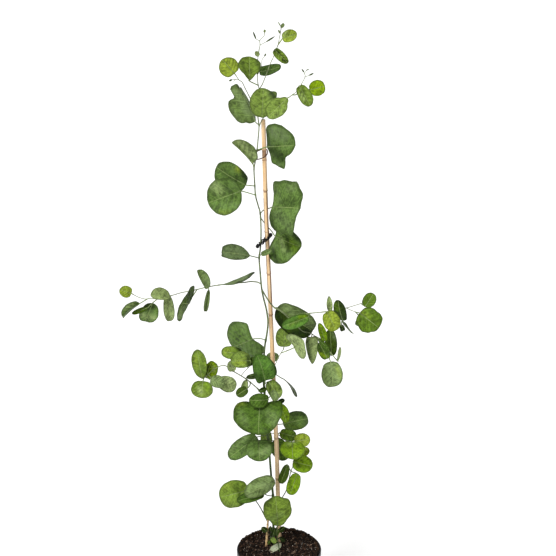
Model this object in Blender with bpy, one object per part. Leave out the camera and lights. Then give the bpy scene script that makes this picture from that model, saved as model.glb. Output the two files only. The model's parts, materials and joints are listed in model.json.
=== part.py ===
"""Young round-leaved eucalyptus in a nursery pot, trained up a bamboo cane.

Metres, +Z up. The origin is the middle of the pot's underside, and the plant faces -Y.
"""

import math

import bpy
import numpy as np
from mathutils import Vector
from mathutils.bvhtree import BVHTree

MM = 0.001
GAP = 0.3 * MM

# Pot
POT_RIM_RADIUS = 75 * MM
POT_BASE_RADIUS = 54 * MM
POT_HEIGHT = 135 * MM
POT_WALL = 1.8 * MM
POT_FLOOR = 3 * MM
POT_RIM_BAND = 13 * MM
POT_RIM_STEP = 2.4 * MM
POT_SIDES = 32
DRAIN_HOLES = 5
DRAIN_RADIUS = 4 * MM
DRAIN_RING = 37 * MM

# Soil
SOIL_EDGE_LEVEL = 133 * MM
SOIL_MOUND = -1.5 * MM
SOIL_LUMP = 0.8 * MM
SOIL_RINGS = 4

# Cane
CANE_RADIUS = 4 * MM
CANE_FOOT = POT_FLOOR + 2 * GAP
CANE_SIDES = 8
CANE_JOINT_RISE = 0.5 * MM
CANE_JOINT_HALF = 3.5 * MM

# Ties
TIE_TURNS = 16
TIE_SIDES = 5

# Plant
BLADE_THICKNESS = 0.75 * MM
STALK_RADIUS = 0.75 * MM
LEADER_SIDES = 5
TWIG_SIDES = 4
STALK_SIDES = 3
THICK_STEM = 1.5
FINE_STEM = 0.65
HUB = 0.45
LARGE_BLADE = 21.0
SMALL_BLADE = 9.0
BUD_BLADE = 5.0
STALK_RUN = 0.2
ROOT_DEPTH = 22 * MM
MOST_FOLD = math.radians(72)

# The front view that places the plant: a point is given as across and down in view units, then
# how many millimetres it stands in front of the cane.
VIEW_MIDDLE = 278
VIEW_FOCUS = 1257
VIEW_TILT = math.radians(17.75)
EYE = (-0.0018, -1.985, 1.276)
CANE_PLANE = 0.030


def spot(across, down, out=0.0):
    """The point seen at (across, down), out millimetres in front of the cane's plane."""
    side = (across - VIEW_MIDDLE) / VIEW_FOCUS
    rise = (VIEW_MIDDLE - down) / VIEW_FOCUS
    y = CANE_PLANE - out * MM
    reach = (y - EYE[1]) / (math.cos(VIEW_TILT) + rise * math.sin(VIEW_TILT))
    z = EYE[2] + reach * (rise * math.cos(VIEW_TILT) - math.sin(VIEW_TILT))
    return np.array([EYE[0] + reach * side, y, z])


def view_unit(point):
    """Length of one view unit at this point."""
    away = (point[1] - EYE[1]) * math.cos(VIEW_TILT) - (point[2] - EYE[2]) * math.sin(VIEW_TILT)
    return away / VIEW_FOCUS


def stem(path, start, end):
    """A stem along (across, down, out) points, with its radius in millimetres at both ends."""
    return {"path": path, "start": start, "end": end}


def leaf(at, base, tip, seen, wide, turn="trough", **form):
    """A leaf whose stalk leaves its stem at `at` and whose blade runs from base to tip.

    seen is the width that shows left and right of the midrib, facing the tip, in view units.
    wide is the true width of one half in millimetres, and turn is how the halves are turned.
    lobes are swellings of the margin as (degrees round it from the base, amount, spread).
    """
    shape = {"belly": 0.5, "blunt": 0.9, "arch": 0.05, "wave": 0.03, "heart": 0.04, "notch": 0.0}
    shape.update({"by": [], "phase": 0.0, "lobes": []})
    shape.update(form)
    return {"at": at, "base": base, "tip": tip, "seen": seen, "wide": wide, "turn": turn, **shape}


# Main stem, from the soil to the crown, with the large leaves that grow straight from it.
LEADER = {
    "stems": [
        stem([(274, 546, 12), (273.5, 530, 12), (273, 512, 11), (273, 496, 10), (271.5, 480, 9),
              (270, 461, 8), (268.5, 440, 7.5), (266, 412, 7), (264.2, 388, 7), (263.2, 372, 7),
              (264, 356, 6.5), (265, 345, 6), (267, 333, 6.5), (268, 322, 7), (266.5, 310, 6.5),
              (264, 300, 6), (262, 291, 5), (261, 282, 4), (260, 270, 3), (259.2, 258, 3),
              (260.5, 247, 4), (261, 235, 4), (260.8, 222, 3), (260, 212, 3), (258, 205, 3),
              (255.5, 195, 3), (254.5, 180, 3), (254, 169, 3), (255, 163, 3.5), (257, 150, 4),
              (258, 140, 4), (259, 127, 4), (258, 118, 5), (257.3, 111, 5), (258.5, 100, 6),
              (260, 88, 8)], 2.2, 0.85),
    ],
    "leaves": [
        leaf((258.5, 124), (255, 122, 9), (235, 85, 22), (19, 3), 31, "back_right", belly=0.45,
             blunt=0.8, lobes=[(213, -0.28, 13), (150, -0.2, 12), (188, 0.06, 10), (255, 0.06, 12),
                               (325, -0.22, 22)]),
        leaf((257.3, 111), (262, 117.5, 14), (263.5, 88, 20), (13, 12.5), 21.5, belly=(0.55, 0.6),
             lobes=[(122, 0.26, 16), (40, -0.08, 18)]),
        leaf((257, 150), (267, 147, 10), (295, 145.5, 48), (22.5, 21), 40, belly=(0.6, 0.78), wave=0.06,
             blunt=0.8, lobes=[(143, -0.2, 13), (200, 0.07, 16), (36, 0.12, 14), (106, 0.12, 12),
                               (310, 0.05, 20)]),
        leaf((254, 169), (253, 163.5, 10), (232, 142, 18), (0.5, 12), 20, belly=0.45),
        leaf((254.3, 186), (246, 185, 0), (216, 167, -14), (15, 12.5), 25, "back_left", wave=0.05),
        leaf((255.5, 196), (241, 191, 10), (208, 203, 28), (18, 19), 32, belly=(0.6, 0.55)),
        leaf((260, 213), (272.5, 207, 2), (303.5, 208.5, 48), (27, 25), 46, belly=(0.6, 0.58),
             blunt=0.75, notch=0.08, wave=0.05, by=[(263, 210.5, -3), (266.5, 209, -6.5), (270, 208, -4)],
             lobes=[(230, 0.16, 13), (203, 0.1, 12), (318, 0.2, 18), (45, -0.05, 22),
                    (166, -0.07, 12), (130, 0.3, 14)]),
        leaf((260.3, 217), (275.5, 236, -6), (301, 247, 24), (14, 25.5), 43, belly=(0.5, 0.45),
             wave=0.07, by=[(263, 221, -4), (267, 226, -8.5), (271.5, 231, -8.5)]),
        leaf((259.2, 257), (250, 255.8, 8), (221.5, 252, 24), (6.5, 9.5), 16, belly=0.66,
             lobes=[(150, 0.08, 14), (212, 0.12, 14)]),
        leaf((259.3, 256), (261.5, 254.5, 12), (272, 249.8, 16), (2.8, 2.8), 7),
        leaf((265, 340), (253, 338.7, 5), (232, 347, -30), (20, 25), 41, "back_left",
             belly=(0.5, 0.42), heart=0.14, by=[(260, 338.5, 6)]),
        leaf((264.2, 388), (265, 380.5, 15), (257, 354.5, 24), (9.5, 14.5), 24.5,
             belly=(0.5, 0.35), lobes=[(185, 0.05, 16)]),
        leaf((264, 357), (267, 357.5, -8), (279, 356, -14), (4.5, 5.5), 10, "ridge",
             by=[(265, 357.5, 0)]),
        leaf((265.3, 403), (268.5, 399.5, 31), (249, 400, 37), (8, 6.5), 14, "back_left"),
        leaf((264, 385), (268.5, 381.5, 9), (279.5, 398, 13), (8, 7), 13, "back_left"),
        leaf((264.5, 392), (272.5, 390.5, 27), (276.5, 401, 32), (4, 4), 8,
             by=[(266.5, 398, 16), (270, 396.5, 25)]),
        leaf((263.5, 375), (281, 377.8, 8), (296, 397, -2), (1.2, 1.2), 12, "back_right",
             arch=-0.1, by=[(273, 373.5, 8.5)]),
        leaf((265.6, 406), (277, 403.5, 7), (284.5, 399.5, 3), (2.5, 2.5), 6),
        leaf((266, 411), (260, 404, 22), (258.5, 435, 64), (23, 26.5), 45, belly=(0.42, 0.46),
             heart=0.12, wave=0.04, lobes=[(58, 0.07, 18), (302, 0.07, 18), (250, -0.03, 14),
                                           (130, -0.04, 16), (205, 0.03, 12)]),
        leaf((265.8, 409), (278.5, 404.5, 9), (287, 423, 14), (6, 4.5), 12, "back_left",
             by=[(272, 406, 8.5)]),
        leaf((267, 424), (283, 424, -8), (308, 418.5, -18), (10, 9), 18.5,
             by=[(271, 424.5, 0), (275.5, 424.5, -8)]),
        leaf((268.2, 436), (257, 437, 8), (229, 458, 18), (8.5, 9.5), 17),
        leaf((268.7, 441), (258.5, 440.5, 18), (260, 461.5, 48), (13.5, 13.5), 24, heart=0.08),
        leaf((267.6, 430), (266.2, 431, -8), (266.5, 447, -14), (6, 6), 11, "ridge"),
        leaf((268.6, 442), (274, 440.5, -8.5), (287, 459.5, -14), (9, 9), 17, "ridge",
             by=[(271, 441, 0)]),
        leaf((272, 484), (274.5, 480, 17), (245, 495, 32), (7.5, 10.5), 18.5, "back_left"),
        leaf((273, 497), (264, 494, 13), (237, 501, 18), (5, 6), 12, by=[(268, 495.5, 12.5)]),
    ],
}

CROWN_LEFT_TWIG = {
    "leaves_from": (257.3, 111),
    "stems": [
        stem([(250, 98, 8), (245, 88, 10), (242, 82, 11), (239, 80, 12), (235, 74, 14)], 0.85, 0.6),
        stem([(239, 80, 12), (235.5, 79.3, 13), (233.5, 82, 14)], 0.5, 0.4),
    ],
    "leaves": [
        leaf((236, 76), (234.5, 73.5, 14), (222, 59.5, 20), (10, 10), 16.5, blunt=0.95),
        leaf((235.5, 79.3), (232, 79.6, 13), (229, 81, 14), (0.9, 0.9), 1.6),
    ],
}

CROWN_MIDDLE_TWIG = {
    "leaves_from": (259.8, 90),
    "stems": [
        stem([(258, 84, 6), (257.3, 76, 5), (257.5, 68, 5), (258, 57, 6), (259, 50, 6), (260, 45, 6),
              (260, 40, 7), (264, 36, 8), (264.6, 32, 8)], 0.75, 0.45),
        stem([(257.4, 74, 5), (261.5, 66, 6), (262, 60, 7), (265, 55.5, 8)], 0.5, 0.4),
    ],
    "leaves": [
        leaf((258.2, 86), (249.5, 81, 13), (249.5, 56.5, 22), (11.5, 11.5), 19, belly=(0.72, 0.68),
             blunt=0.95, wave=0.04, lobes=[(38, -0.2, 24), (322, -0.2, 24), (215, 0.05, 18)]),
        leaf((257.4, 75), (259.5, 71.5, -4), (281, 66, -9), (5.2, 5.2), 13, "back_right", belly=0.38),
        leaf((259, 50), (258.6, 56, 8), (255.5, 51.3, 10), (2.4, 2.4), 4),
        leaf((260, 40.5), (256, 39, 9), (253, 31.5, 11), (0.8, 0.8), 1.8, blunt=1.3),
        leaf((260, 45), (266, 42, 9), (275, 36.3, 12), (0.8, 0.8), 1.8, blunt=1.3),
        leaf((264.5, 33), (264.4, 32.5, 8), (265, 29.5, 9), (1.2, 1.2), 2),
        leaf((264.5, 56.5), (264.6, 56.2, 8), (266, 53.5, 9), (0.8, 0.8), 1.4),
    ],
}

CROWN_RIGHT_TWIG = {
    "leaves_from": (260, 89),
    "stems": [
        stem([(262.5, 84, 11), (264.5, 79, 15), (266.5, 74, 19), (269, 67, 21), (271, 62, 21),
              (273, 58, 20), (276, 50, 19), (278, 45, 18), (279, 40, 17), (280, 35, 17),
              (281.2, 28, 18)], 0.75, 0.5),
    ],
    "leaves": [
        leaf((278, 45), (282.5, 38.5, 17), (297, 33.5, 21), (6.5, 5.8), 10.5),
        leaf((276, 50), (274.5, 49.5, 25), (288, 63, 28), (4.3, 5), 9.5, belly=0.44),
        leaf((281.1, 29), (281.4, 27.5, 18), (284, 23.3, 19), (1.8, 1.8), 3),
        leaf((280.2, 34), (280, 33.2, 18), (278.3, 29.8, 19), (0.9, 0.9), 1.8),
        leaf((281, 29), (280.5, 26, 18), (278, 21.8, 18), (0.5, 0.5), 1.2),
    ],
}

CROWN_SIDE_SPRIG = {
    "leaves_from": (259, 126),
    "stems": [
        stem([(262, 120, 8), (268, 112, 8.5), (278, 104, 9), (288, 98, 10), (292, 95, 10),
              (297, 91, 10), (302, 83, 10), (305, 77, 10), (304.5, 73, 10)], 0.8, 0.45),
    ],
    "leaves": [
        leaf((289.5, 97), (287.5, 98, 25), (267.5, 117.5, 40), (9, 9.5), 16, belly=0.55,
             lobes=[(38, -0.2, 22), (322, -0.2, 22), (130, 0.08, 16), (235, -0.04, 20)],
             by=[(289, 97.2, 18)]),
        leaf((292, 95), (299, 86, 13), (310.5, 106, 17), (7.2, 6.4), 12, by=[(297, 94, 12)]),
        leaf((301, 84.6), (309.5, 90, 5), (325, 86, 2), (8, 8), 13.5),
        leaf((304.6, 74), (304.2, 72.5, 10), (301.6, 68.8, 11), (0.7, 0.7), 1.6, blunt=1.3),
        leaf((305, 77), (309, 75.4, 10), (313.7, 73.2, 11), (0.8, 0.8), 1.8, blunt=1.3),
        leaf((304.6, 74), (306, 70.5, 10), (309, 69, 10), (0.5, 0.5), 1.2),
    ],
}

LEFT_BRANCH = {
    "leaves_from": (261, 284),
    "stems": [
        stem([(257, 282, 6.5), (251, 281.5, 8), (244, 282.5, 10), (237, 283, 12), (228, 284, 15),
              (219, 285, 18), (210, 286.5, 22), (203, 288, 25), (197, 289.5, 28), (190, 291, 30),
              (182, 292.5, 33), (175, 294.5, 36), (165, 297.5, 38), (159, 299, 39),
              (150, 298.5, 40), (145, 299, 41), (138, 297, 42), (132, 293.7, 44)], 1.1, 0.55),
    ],
    "leaves": [
        leaf((219, 285), (221, 284.8, 22), (254.5, 273, 36), (2.8, 2.3), 13, "back_left",
             belly=0.7, arch=-0.06),
        leaf((209, 287), (207, 288.5, 27), (197.5, 270, 34), (2.3, 7), 12, belly=0.56, blunt=0.8),
        leaf((208, 287.5), (208.8, 289.6, 21), (205.4, 311.4, 13), (2.6, 2.6), 9.5),
        leaf((197, 289.5), (189.5, 303, 44), (181, 303, 76), (17.7, 17.8), 32, "back_left",
             by=[(194.5, 293.5, 34), (191, 299, 41)]),
        leaf((172, 296), (170, 297, 44), (150.5, 295, 52), (4, 8.5), 15.5, belly=0.6),
        leaf((170.5, 296.5), (167.5, 296, 32), (170, 321, 26), (5.6, 5.4), 12, belly=0.46,
             blunt=0.85),
        leaf((157, 299), (152.5, 303, 34), (145, 321.5, 26), (10, 8.5), 17),
        leaf((157, 299), (148, 307.5, 38), (132, 313.7, 42), (2.6, 2.6), 6, by=[(152, 303.5, 39)]),
        leaf((147.5, 299), (140, 303.5, 41), (123.5, 318, 35), (-2, 8), 14),
        leaf((133, 294), (131.3, 293.4, 44), (119.5, 289.5, 50), (6, 6), 10.5),
    ],
}

RIGHT_BRANCH = {
    "leaves_from": (262, 290),
    "stems": [
        stem([(265, 295, 10), (268, 300, 12), (271, 304, 13), (275, 308, 14), (280, 310.5, 15),
              (285, 314.5, 16), (289.5, 318, 17), (295, 316.6, 18), (302, 314.8, 19),
              (310, 313.3, 20), (323, 312, 20), (335, 310.3, 20), (346, 308, 20), (353, 306, 21),
              (361, 303.5, 22)], 1.3, 0.55),
        stem([(289.5, 318, 17), (294, 323, 16), (299, 328, 15), (303, 331.5, 15), (310, 333, 15),
              (315, 336, 16), (320, 338.5, 17), (325, 343, 18), (328, 348, 19), (330, 352, 19)],
             0.9, 0.55),
        stem([(346, 308, 20), (353, 311, 22), (358, 312.6, 25)], 0.6, 0.5),
        stem([(334, 310.5, 20), (339, 316, 20), (342, 320.5, 21)], 0.6, 0.5),
    ],
    "leaves": [
        leaf((275.5, 308.2), (277, 307.5, 8), (313, 331, -12), (13, 15.5), 27, "trough",
             belly=(0.5, 0.5), wave=0.04),
        leaf((310, 313.3), (308.5, 316.8, 27), (282, 326.5, 34), (6.6, 6), 12.5, belly=0.5),
        leaf((312, 334.2), (311.5, 337, 10), (312.5, 364, 5), (6.4, 6.2), 11, belly=0.2, blunt=1.2),
        leaf((322, 340.2), (325, 341, 25), (319, 323, 30), (3.6, 4.2), 8.5, belly=0.5),
        leaf((329.5, 351), (331.5, 355.5, 5), (330, 329, -3), (6, 6.3), 12),
        leaf((328, 348.5), (327.5, 358.5, 23), (319, 342.5, 27), (5.5, 5), 10.5, by=[(326, 353.5, 24)]),
        leaf((316, 336.6), (318, 338.5, 35), (329.8, 351.3, 37), (2.2, 2.2), 5, blunt=1.1),
        leaf((323, 312), (327, 311.8, 38), (336, 330.5, 44), (8.6, 8.4), 15),
        leaf((331, 311), (330, 311, 12), (329, 296, 8), (3, 3), 6.5, blunt=1.2, belly=0.42),
        leaf((341.5, 319.5), (343, 320.5, 28), (338, 300, 32), (5.8, 6), 12, "back_left"),
        leaf((342, 320.3), (343.5, 321.5, 20), (353.5, 334, 12), (1.2, 1.2), 12, "back_right"),
        leaf((342, 320.3), (341.3, 324.5, 15), (343, 331, 12), (2.6, 2.6), 5.5),
        leaf((329.5, 351), (330.5, 361.5, 20), (333, 387, 24), (11, 10.5), 19, by=[(329, 357, 20)]),
        leaf((330, 352), (337.5, 361, 9), (340, 346.8, 4), (1.7, 1.7), 6, "back_right", blunt=1.2),
        leaf((357.5, 312.5), (359.5, 313, 28), (379, 328, 36), (13, 12.5), 21.5, wave=0.06,
             lobes=[(90, 0.06, 14), (140, -0.07, 14), (270, -0.06, 14), (225, 0.05, 14)]),
        leaf((361, 303.5), (365, 306.5, 18), (373.5, 293.5, 12), (6.4, 6.8), 11.5),
        leaf((355, 311.5), (361, 318, 19), (357, 325.8, 15), (3.4, 3.4), 6),
    ],
}

MIDDLE_TWIG = {
    "leaves_from": (263.2, 371),
    "stems": [
        stem([(268, 369.8, 9.5), (272.5, 367.5, 10), (275.5, 364, 10), (278, 358.5, 10),
              (281, 353, 10), (283.3, 349.5, 9)], 0.7, 0.5),
    ],
    "leaves": [
        leaf((283.2, 349.8), (284, 346.8, 6), (284, 327, -2), (8.5, 9.3), 16.5),
        leaf((281, 353), (294.5, 347.5, 16), (303.7, 341, 42), (14.5, 14.5), 25.5,
             by=[(287, 350.8, 12)]),
    ],
}

LEFT_CLUSTER_BRANCH = {
    "leaves_from": (265.3, 402),
    "stems": [
        stem([(262, 394, 10), (258, 389, 12), (250, 382, 16), (246, 379, 18), (243, 377, 19),
              (238, 374, 21), (233, 371, 23), (227, 366.5, 25), (223, 365.5, 26), (219, 366.5, 27),
              (213, 370, 28), (208, 374.5, 28), (204, 378, 28)], 1.15, 0.65),
        stem([(241, 375.8, 20), (245, 371, 23), (250, 366, 26)], 0.6, 0.5),
    ],
    "leaves": [
        leaf((248, 367.8), (242, 354, 31), (221.3, 351.5, 29), (6.6, 6.6), 12, by=[(247, 361, 30)]),
        leaf((250, 366), (250.3, 361, 37), (230.5, 361.5, 43), (7, 10), 17),
        leaf((250, 366), (250.8, 365.5, 23), (253, 357, 17), (2.6, 2.6), 7),
        leaf((234, 371.6), (232.6, 371.2, 27), (230, 361, 31), (4.4, 4.6), 8),
        leaf((246, 379), (246.5, 377.5, 13), (256.5, 375.8, 6), (2.8, 2.8), 7.5),
        leaf((204.5, 377.5), (202, 378.5, 32), (197, 349.5, 40), (7.6, 7.4), 13.5, belly=0.62,
             blunt=0.95),
        leaf((206.5, 376), (206.5, 378, 11), (212.5, 361, 4), (4, 10), 17, arch=-0.1),
        leaf((204, 378), (203, 381, 31), (201, 398, 42), (11, 11), 19),
        leaf((206, 376.6), (210.5, 380, 33), (224.5, 384, 37), (6.8, 6), 11.5),
        leaf((208, 374.5), (218.5, 380.5, 20), (236, 387.5, 15), (8, 8), 14, by=[(212, 378, 23)]),
        leaf((246.4, 379.3), (246, 380, 13), (243, 391.5, 15), (3.6, 3.2), 8.5),
        leaf((250.5, 382.3), (247.3, 388.5, 33), (236.5, 395.5, 37), (5, 5), 9, by=[(250, 385, 25)]),
        leaf((258, 389), (259, 391.5, 17), (266.5, 388.5, 13), (2.6, 2.6), 6),
    ],
}

RIGHT_MIDDLE_SPRIG = {
    "leaves_from": (268, 433),
    "stems": [
        stem([(271, 433, -3), (276, 434, -8), (280, 436, -4), (283.5, 439, 5), (289, 441, 14),
              (293, 441.3, 18)], 0.75, 0.55),
    ],
    "leaves": [
        leaf((277.5, 434.6), (280, 432.5, -13), (296, 437, -18), (6, 6.5), 11.5),
        leaf((292.5, 441.3), (294.2, 441.2, 18), (310.3, 439.5, 24), (7.2, 7), 12.5),
        leaf((291, 441.2), (292, 442.2, 24), (292.5, 459.5, 50), (13, 12), 22, heart=0.1),
    ],
}

RIGHT_LOW_SHOOT = {
    "leaves_from": (273.2, 517),
    "stems": [
        stem([(277, 508, 14), (282, 498, 15), (286, 491, 15), (288.5, 482, 15), (290.5, 473, 15),
              (293, 466, 14), (296, 459, 12)], 1.1, 0.7),
    ],
    "leaves": [
        leaf((294.5, 462.5), (293, 461.5, 20), (312.5, 466.5, 27), (8.7, 8.7), 15.5),
        leaf((291.3, 471), (287.3, 464.5, 11), (280.5, 483.5, 9), (4.8, 4.2), 9),
        leaf((291, 472), (297, 473.5, 20), (290, 494.8, 27), (6.6, 6.4), 12),
        leaf((296, 459), (299, 455, 5), (309, 449, 0), (4.5, 4.5), 9),
    ],
}

LOW_LEFT_SHOOT = {
    "parent": "old_stub",
    "leaves_from": (267.9, 521),
    "stems": [
        stem([(264, 514.5, 15), (260, 507, 12), (256, 501, 8), (252, 495, 4), (249.5, 490.5, 1)],
             1.2, 0.8),
    ],
    "leaves": [
        leaf((249.5, 490.5), (248.5, 489.8, 0), (219.5, 497.5, 6), (14.6, 13.4), 24.5,
             lobes=[(230, 0.04, 20)]),
    ],
}

FRONT_SHOOT = {
    "stems": [
        stem([(279.3, 549.5, 34), (277.8, 541, 34), (276.7, 533, 33)], 0.9, 0.75),
    ],
    "leaves": [
        leaf((276.7, 533), (277.5, 526, 34), (275.3, 496, 42), (13.4, 15.8), 27, belly=(0.6, 0.55),
             lobes=[(132, 0.1, 16), (228, 0.13, 16), (46, -0.17, 22), (318, -0.27, 26)]),
    ],
}

BASAL_TUFT = {
    "stems": [
        stem([(270.3, 543.5, 8), (270.3, 538, 10), (270.6, 532.5, 12)], 0.9, 0.6),
    ],
    "leaves": [
        leaf((270.4, 535), (267, 531.5, 24), (261.5, 527.5, 25), (2.8, 2.8), 5.5,
             by=[(269.7, 534.2, 17)]),
        leaf((270.6, 533), (270.8, 531.5, 19), (270.3, 526, 21), (1.9, 1.9), 4),
        leaf((270.4, 534.5), (272.6, 536.5, 26), (274.8, 528.5, 27), (2.3, 2.3), 5),
        leaf((270.4, 536), (275, 535, 23), (279.5, 529.5, 24), (2.4, 2.4), 5,
             by=[(271.6, 538, 19)]),
        leaf((270.5, 533.5), (279, 531.5, 15), (284.8, 527, 13), (2.6, 2.6), 5.5,
             by=[(274, 532.5, 20.5)]),
        leaf((270.3, 538.5), (271.4, 538.2, 25), (276.2, 543, 32), (2.6, 2.6), 5.5),
        leaf((270.3, 540), (279.5, 537.5, 16), (284.8, 541, 14), (2.2, 2.2), 5,
             by=[(274.5, 541.5, 18.5)]),
        leaf((270.3, 539.5), (269.3, 540.5, 16), (268.3, 544.5, 19), (1.6, 1.6), 3.5),
    ],
}

# A node's stems start clear of the stem they grow from, or in the soil.
SHOOTS = {
    "leader_stem": LEADER,
    "crown_left_twig": CROWN_LEFT_TWIG,
    "crown_middle_twig": CROWN_MIDDLE_TWIG,
    "crown_right_twig": CROWN_RIGHT_TWIG,
    "crown_side_sprig": CROWN_SIDE_SPRIG,
    "left_branch": LEFT_BRANCH,
    "right_branch": RIGHT_BRANCH,
    "middle_twig": MIDDLE_TWIG,
    "left_cluster_branch": LEFT_CLUSTER_BRANCH,
    "right_middle_sprig": RIGHT_MIDDLE_SPRIG,
    "right_low_shoot": RIGHT_LOW_SHOOT,
    "low_left_shoot": LOW_LEFT_SHOOT,
    "front_shoot": FRONT_SHOOT,
    "basal_tuft": BASAL_TUFT,
}

OLD_STUB = [(266.3, 546.5, 16), (267.2, 532, 17), (268, 519.5, 18)]
OLD_STUB_RADIUS = 2.1
CANE_LINE = [(279.2, 541), (276.7, 450), (272.7, 360), (269.4, 285), (266.3, 220), (263.2, 119.5)]
CANE_JOINTS = [503, 478, 437, 397, 356, 314, 273, 232, 190, 160]

# A tie's ends in the view, its wire's radius, how deep and how much lower in front it runs.
UPPER_TIE = {
    "left": (253.8, 156.5, 3.7), "right": (267.5, 152, -0.6), "wire": 0.8, "half": 6.1, "drop": 6.0,
}
LOWER_TIE = {
    "left": (257.2, 246.5, 4.2), "right": (270.9, 234.7, -0.8), "wire": 1.6, "half": 6.9, "drop": 0.0,
}

FALLEN_LEAF = {"base": (270.8, 553.4), "tip": (280.4, 545), "wide": 7.8}

COLOURS = {
    "pot": ((0.022, 0.022, 0.024), 0.45),
    "soil": ((0.035, 0.022, 0.016), 0.95),
    "cane": ((0.62, 0.42, 0.24), 0.5),
    "upper_tie": ((0.10, 0.055, 0.03), 0.6),
    "lower_tie": ((0.012, 0.012, 0.013), 0.5),
    "old_stub": ((0.45, 0.33, 0.20), 0.7),
    "fallen_leaf": ((0.42, 0.47, 0.36), 0.6),
    "crown_left_twig": ((0.20, 0.32, 0.07), 0.5),
    "crown_right_twig": ((0.18, 0.30, 0.06), 0.5),
    "crown_side_sprig": ((0.17, 0.29, 0.06), 0.5),
    "left_cluster_branch": ((0.16, 0.27, 0.07), 0.5),
    "right_middle_sprig": ((0.15, 0.27, 0.05), 0.5),
    "basal_tuft": ((0.05, 0.11, 0.08), 0.5),
}
LEAF_COLOUR = ((0.08, 0.16, 0.06), 0.5)


def clear_scene():
    for item in list(bpy.data.objects):
        bpy.data.objects.remove(item, do_unlink=True)


def paint(item, name):
    """Gives the object its own material, with the sub-part's colour and roughness."""
    colour, roughness = COLOURS.get(name, LEAF_COLOUR)
    material = bpy.data.materials.new(name)
    material.use_nodes = True
    shader = material.node_tree.nodes["Principled BSDF"]
    shader.inputs["Base Color"].default_value = (*colour, 1.0)
    shader.inputs["Roughness"].default_value = roughness
    shader.inputs["Metallic"].default_value = 0.0
    item.data.materials.clear()
    item.data.materials.append(material)


def add_object(name, points, faces):
    mesh = bpy.data.meshes.new(name)
    mesh.from_pydata([tuple(point) for point in points], [], faces)
    mesh.validate()
    item = bpy.data.objects.new(name, mesh)
    bpy.context.scene.collection.objects.link(item)
    return item


def unit(vector):
    return vector / np.linalg.norm(vector)


def tube_shell(points, radii, sides, closed=False):
    """Points and faces of a round tube: a ring of sides square to the path at each of its points.

    The rings keep their turn along the path. An open tube has flat ends.
    """
    points = np.asarray(points, float)
    count = len(points)
    radii = np.broadcast_to(np.asarray(radii, float), (count,))
    if closed:
        ahead = np.roll(points, -1, axis=0) - np.roll(points, 1, axis=0)
    else:
        steps = np.diff(points, axis=0)
        steps /= np.linalg.norm(steps, axis=1)[:, None]
        ahead = np.concatenate([steps[:1], steps[:-1] + steps[1:], steps[-1:]])
    ahead /= np.linalg.norm(ahead, axis=1)[:, None]
    reference = (0.31, 0.17, 0.94) if abs(ahead[0][2]) < 0.8 else (1.0, 0.1, 0.0)
    across = unit(np.cross(ahead[0], reference))
    angles = np.arange(sides) * 2 * math.pi / sides
    rings = []
    for index in range(count):
        across = unit(across - ahead[index] * np.dot(across, ahead[index]))
        over = np.cross(ahead[index], across)
        ring = np.outer(np.cos(angles), across) + np.outer(np.sin(angles), over)
        rings.append(points[index] + radii[index] * ring)
    faces = []
    for index in range(count if closed else count - 1):
        near = index * sides
        far = (index + 1) % count * sides
        for side in range(sides):
            following = (side + 1) % sides
            faces.append((near + side, near + following, far + following, far + side))
    if not closed:
        faces.append(tuple(range(sides))[::-1])
        faces.append(tuple(range((count - 1) * sides, count * sides)))
    return np.concatenate(rings), faces


def lathe_shell(profile, sides):
    """Points and faces of a profile of (radius, height) turned about Z, starting and ending on it."""
    angles = np.arange(sides) * 2 * math.pi / sides
    circle = np.stack([np.cos(angles), np.sin(angles)], axis=1)
    points = [(0.0, 0.0, profile[0][1])]
    for radius, height in profile[1:-1]:
        points.extend((radius * x, radius * y, height) for x, y in circle)
    points.append((0.0, 0.0, profile[-1][1]))
    faces = []
    last = len(points) - 1
    rings = len(profile) - 2
    for side in range(sides):
        following = (side + 1) % sides
        faces.append((0, 1 + following, 1 + side))
        for ring in range(rings - 1):
            low = 1 + ring * sides
            faces.append((low + side, low + following, low + sides + following, low + sides + side))
        top = 1 + (rings - 1) * sides
        faces.append((last, top + side, top + following))
    return points, faces


def turned_halves(seen, wide, turn, unit_size):
    """Roll and fold of a blade: each half turns until the cosine of its angle gives what is seen."""
    left, right = (math.acos(max(-1.0, min(0.995, width * unit_size / (wide * MM)))) for width in seen)
    left_sign, right_sign = {
        "trough": (1, -1),
        "ridge": (-1, 1),
        "back_right": (1, 1),
        "back_left": (-1, -1),
    }[turn]
    left *= left_sign
    right *= right_sign
    fold = max(-MOST_FOLD, min(MOST_FOLD, (left - right) / 2))
    return (left + right) / 2, fold


def blade_surface(item):
    """The blade's middle surface as a function of width and length in metres, and its length."""
    base = spot(*item["base"])
    tip = spot(*item["tip"])
    length = np.linalg.norm(tip - base)
    along = (tip - base) / length
    to_eye = np.array(EYE) - base
    facing = unit(to_eye - along * np.dot(to_eye, along))
    side = np.cross(along, facing)
    roll, fold = turned_halves(item["seen"], item["wide"], item["turn"], view_unit((base + tip) / 2))
    across = side * math.cos(roll) - facing * math.sin(roll)
    normal = facing * math.cos(roll) + side * math.sin(roll)
    wide = item["wide"] * MM

    def surface(a, b):
        share = b / length
        reach = np.hypot(a / wide, 2 * share - 1)
        angle = np.arctan2(a / wide, 1 - 2 * share)
        height = item["arch"] * length * 4 * share * (1 - share)
        ripple = np.sin(3 * angle + item["phase"]) + 0.6 * np.sin(5 * angle + 2 * item["phase"] + 1)
        height = height + item["wave"] * wide * np.clip(reach, 0, 1) ** 3 * ripple
        out = np.abs(a) * math.cos(fold)
        up = np.abs(a) * math.sin(fold) + height
        place = base + np.multiply.outer(b, along) + np.multiply.outer(np.sign(a) * out, across)
        return place + np.multiply.outer(up, normal)

    return surface, length, fold


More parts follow.
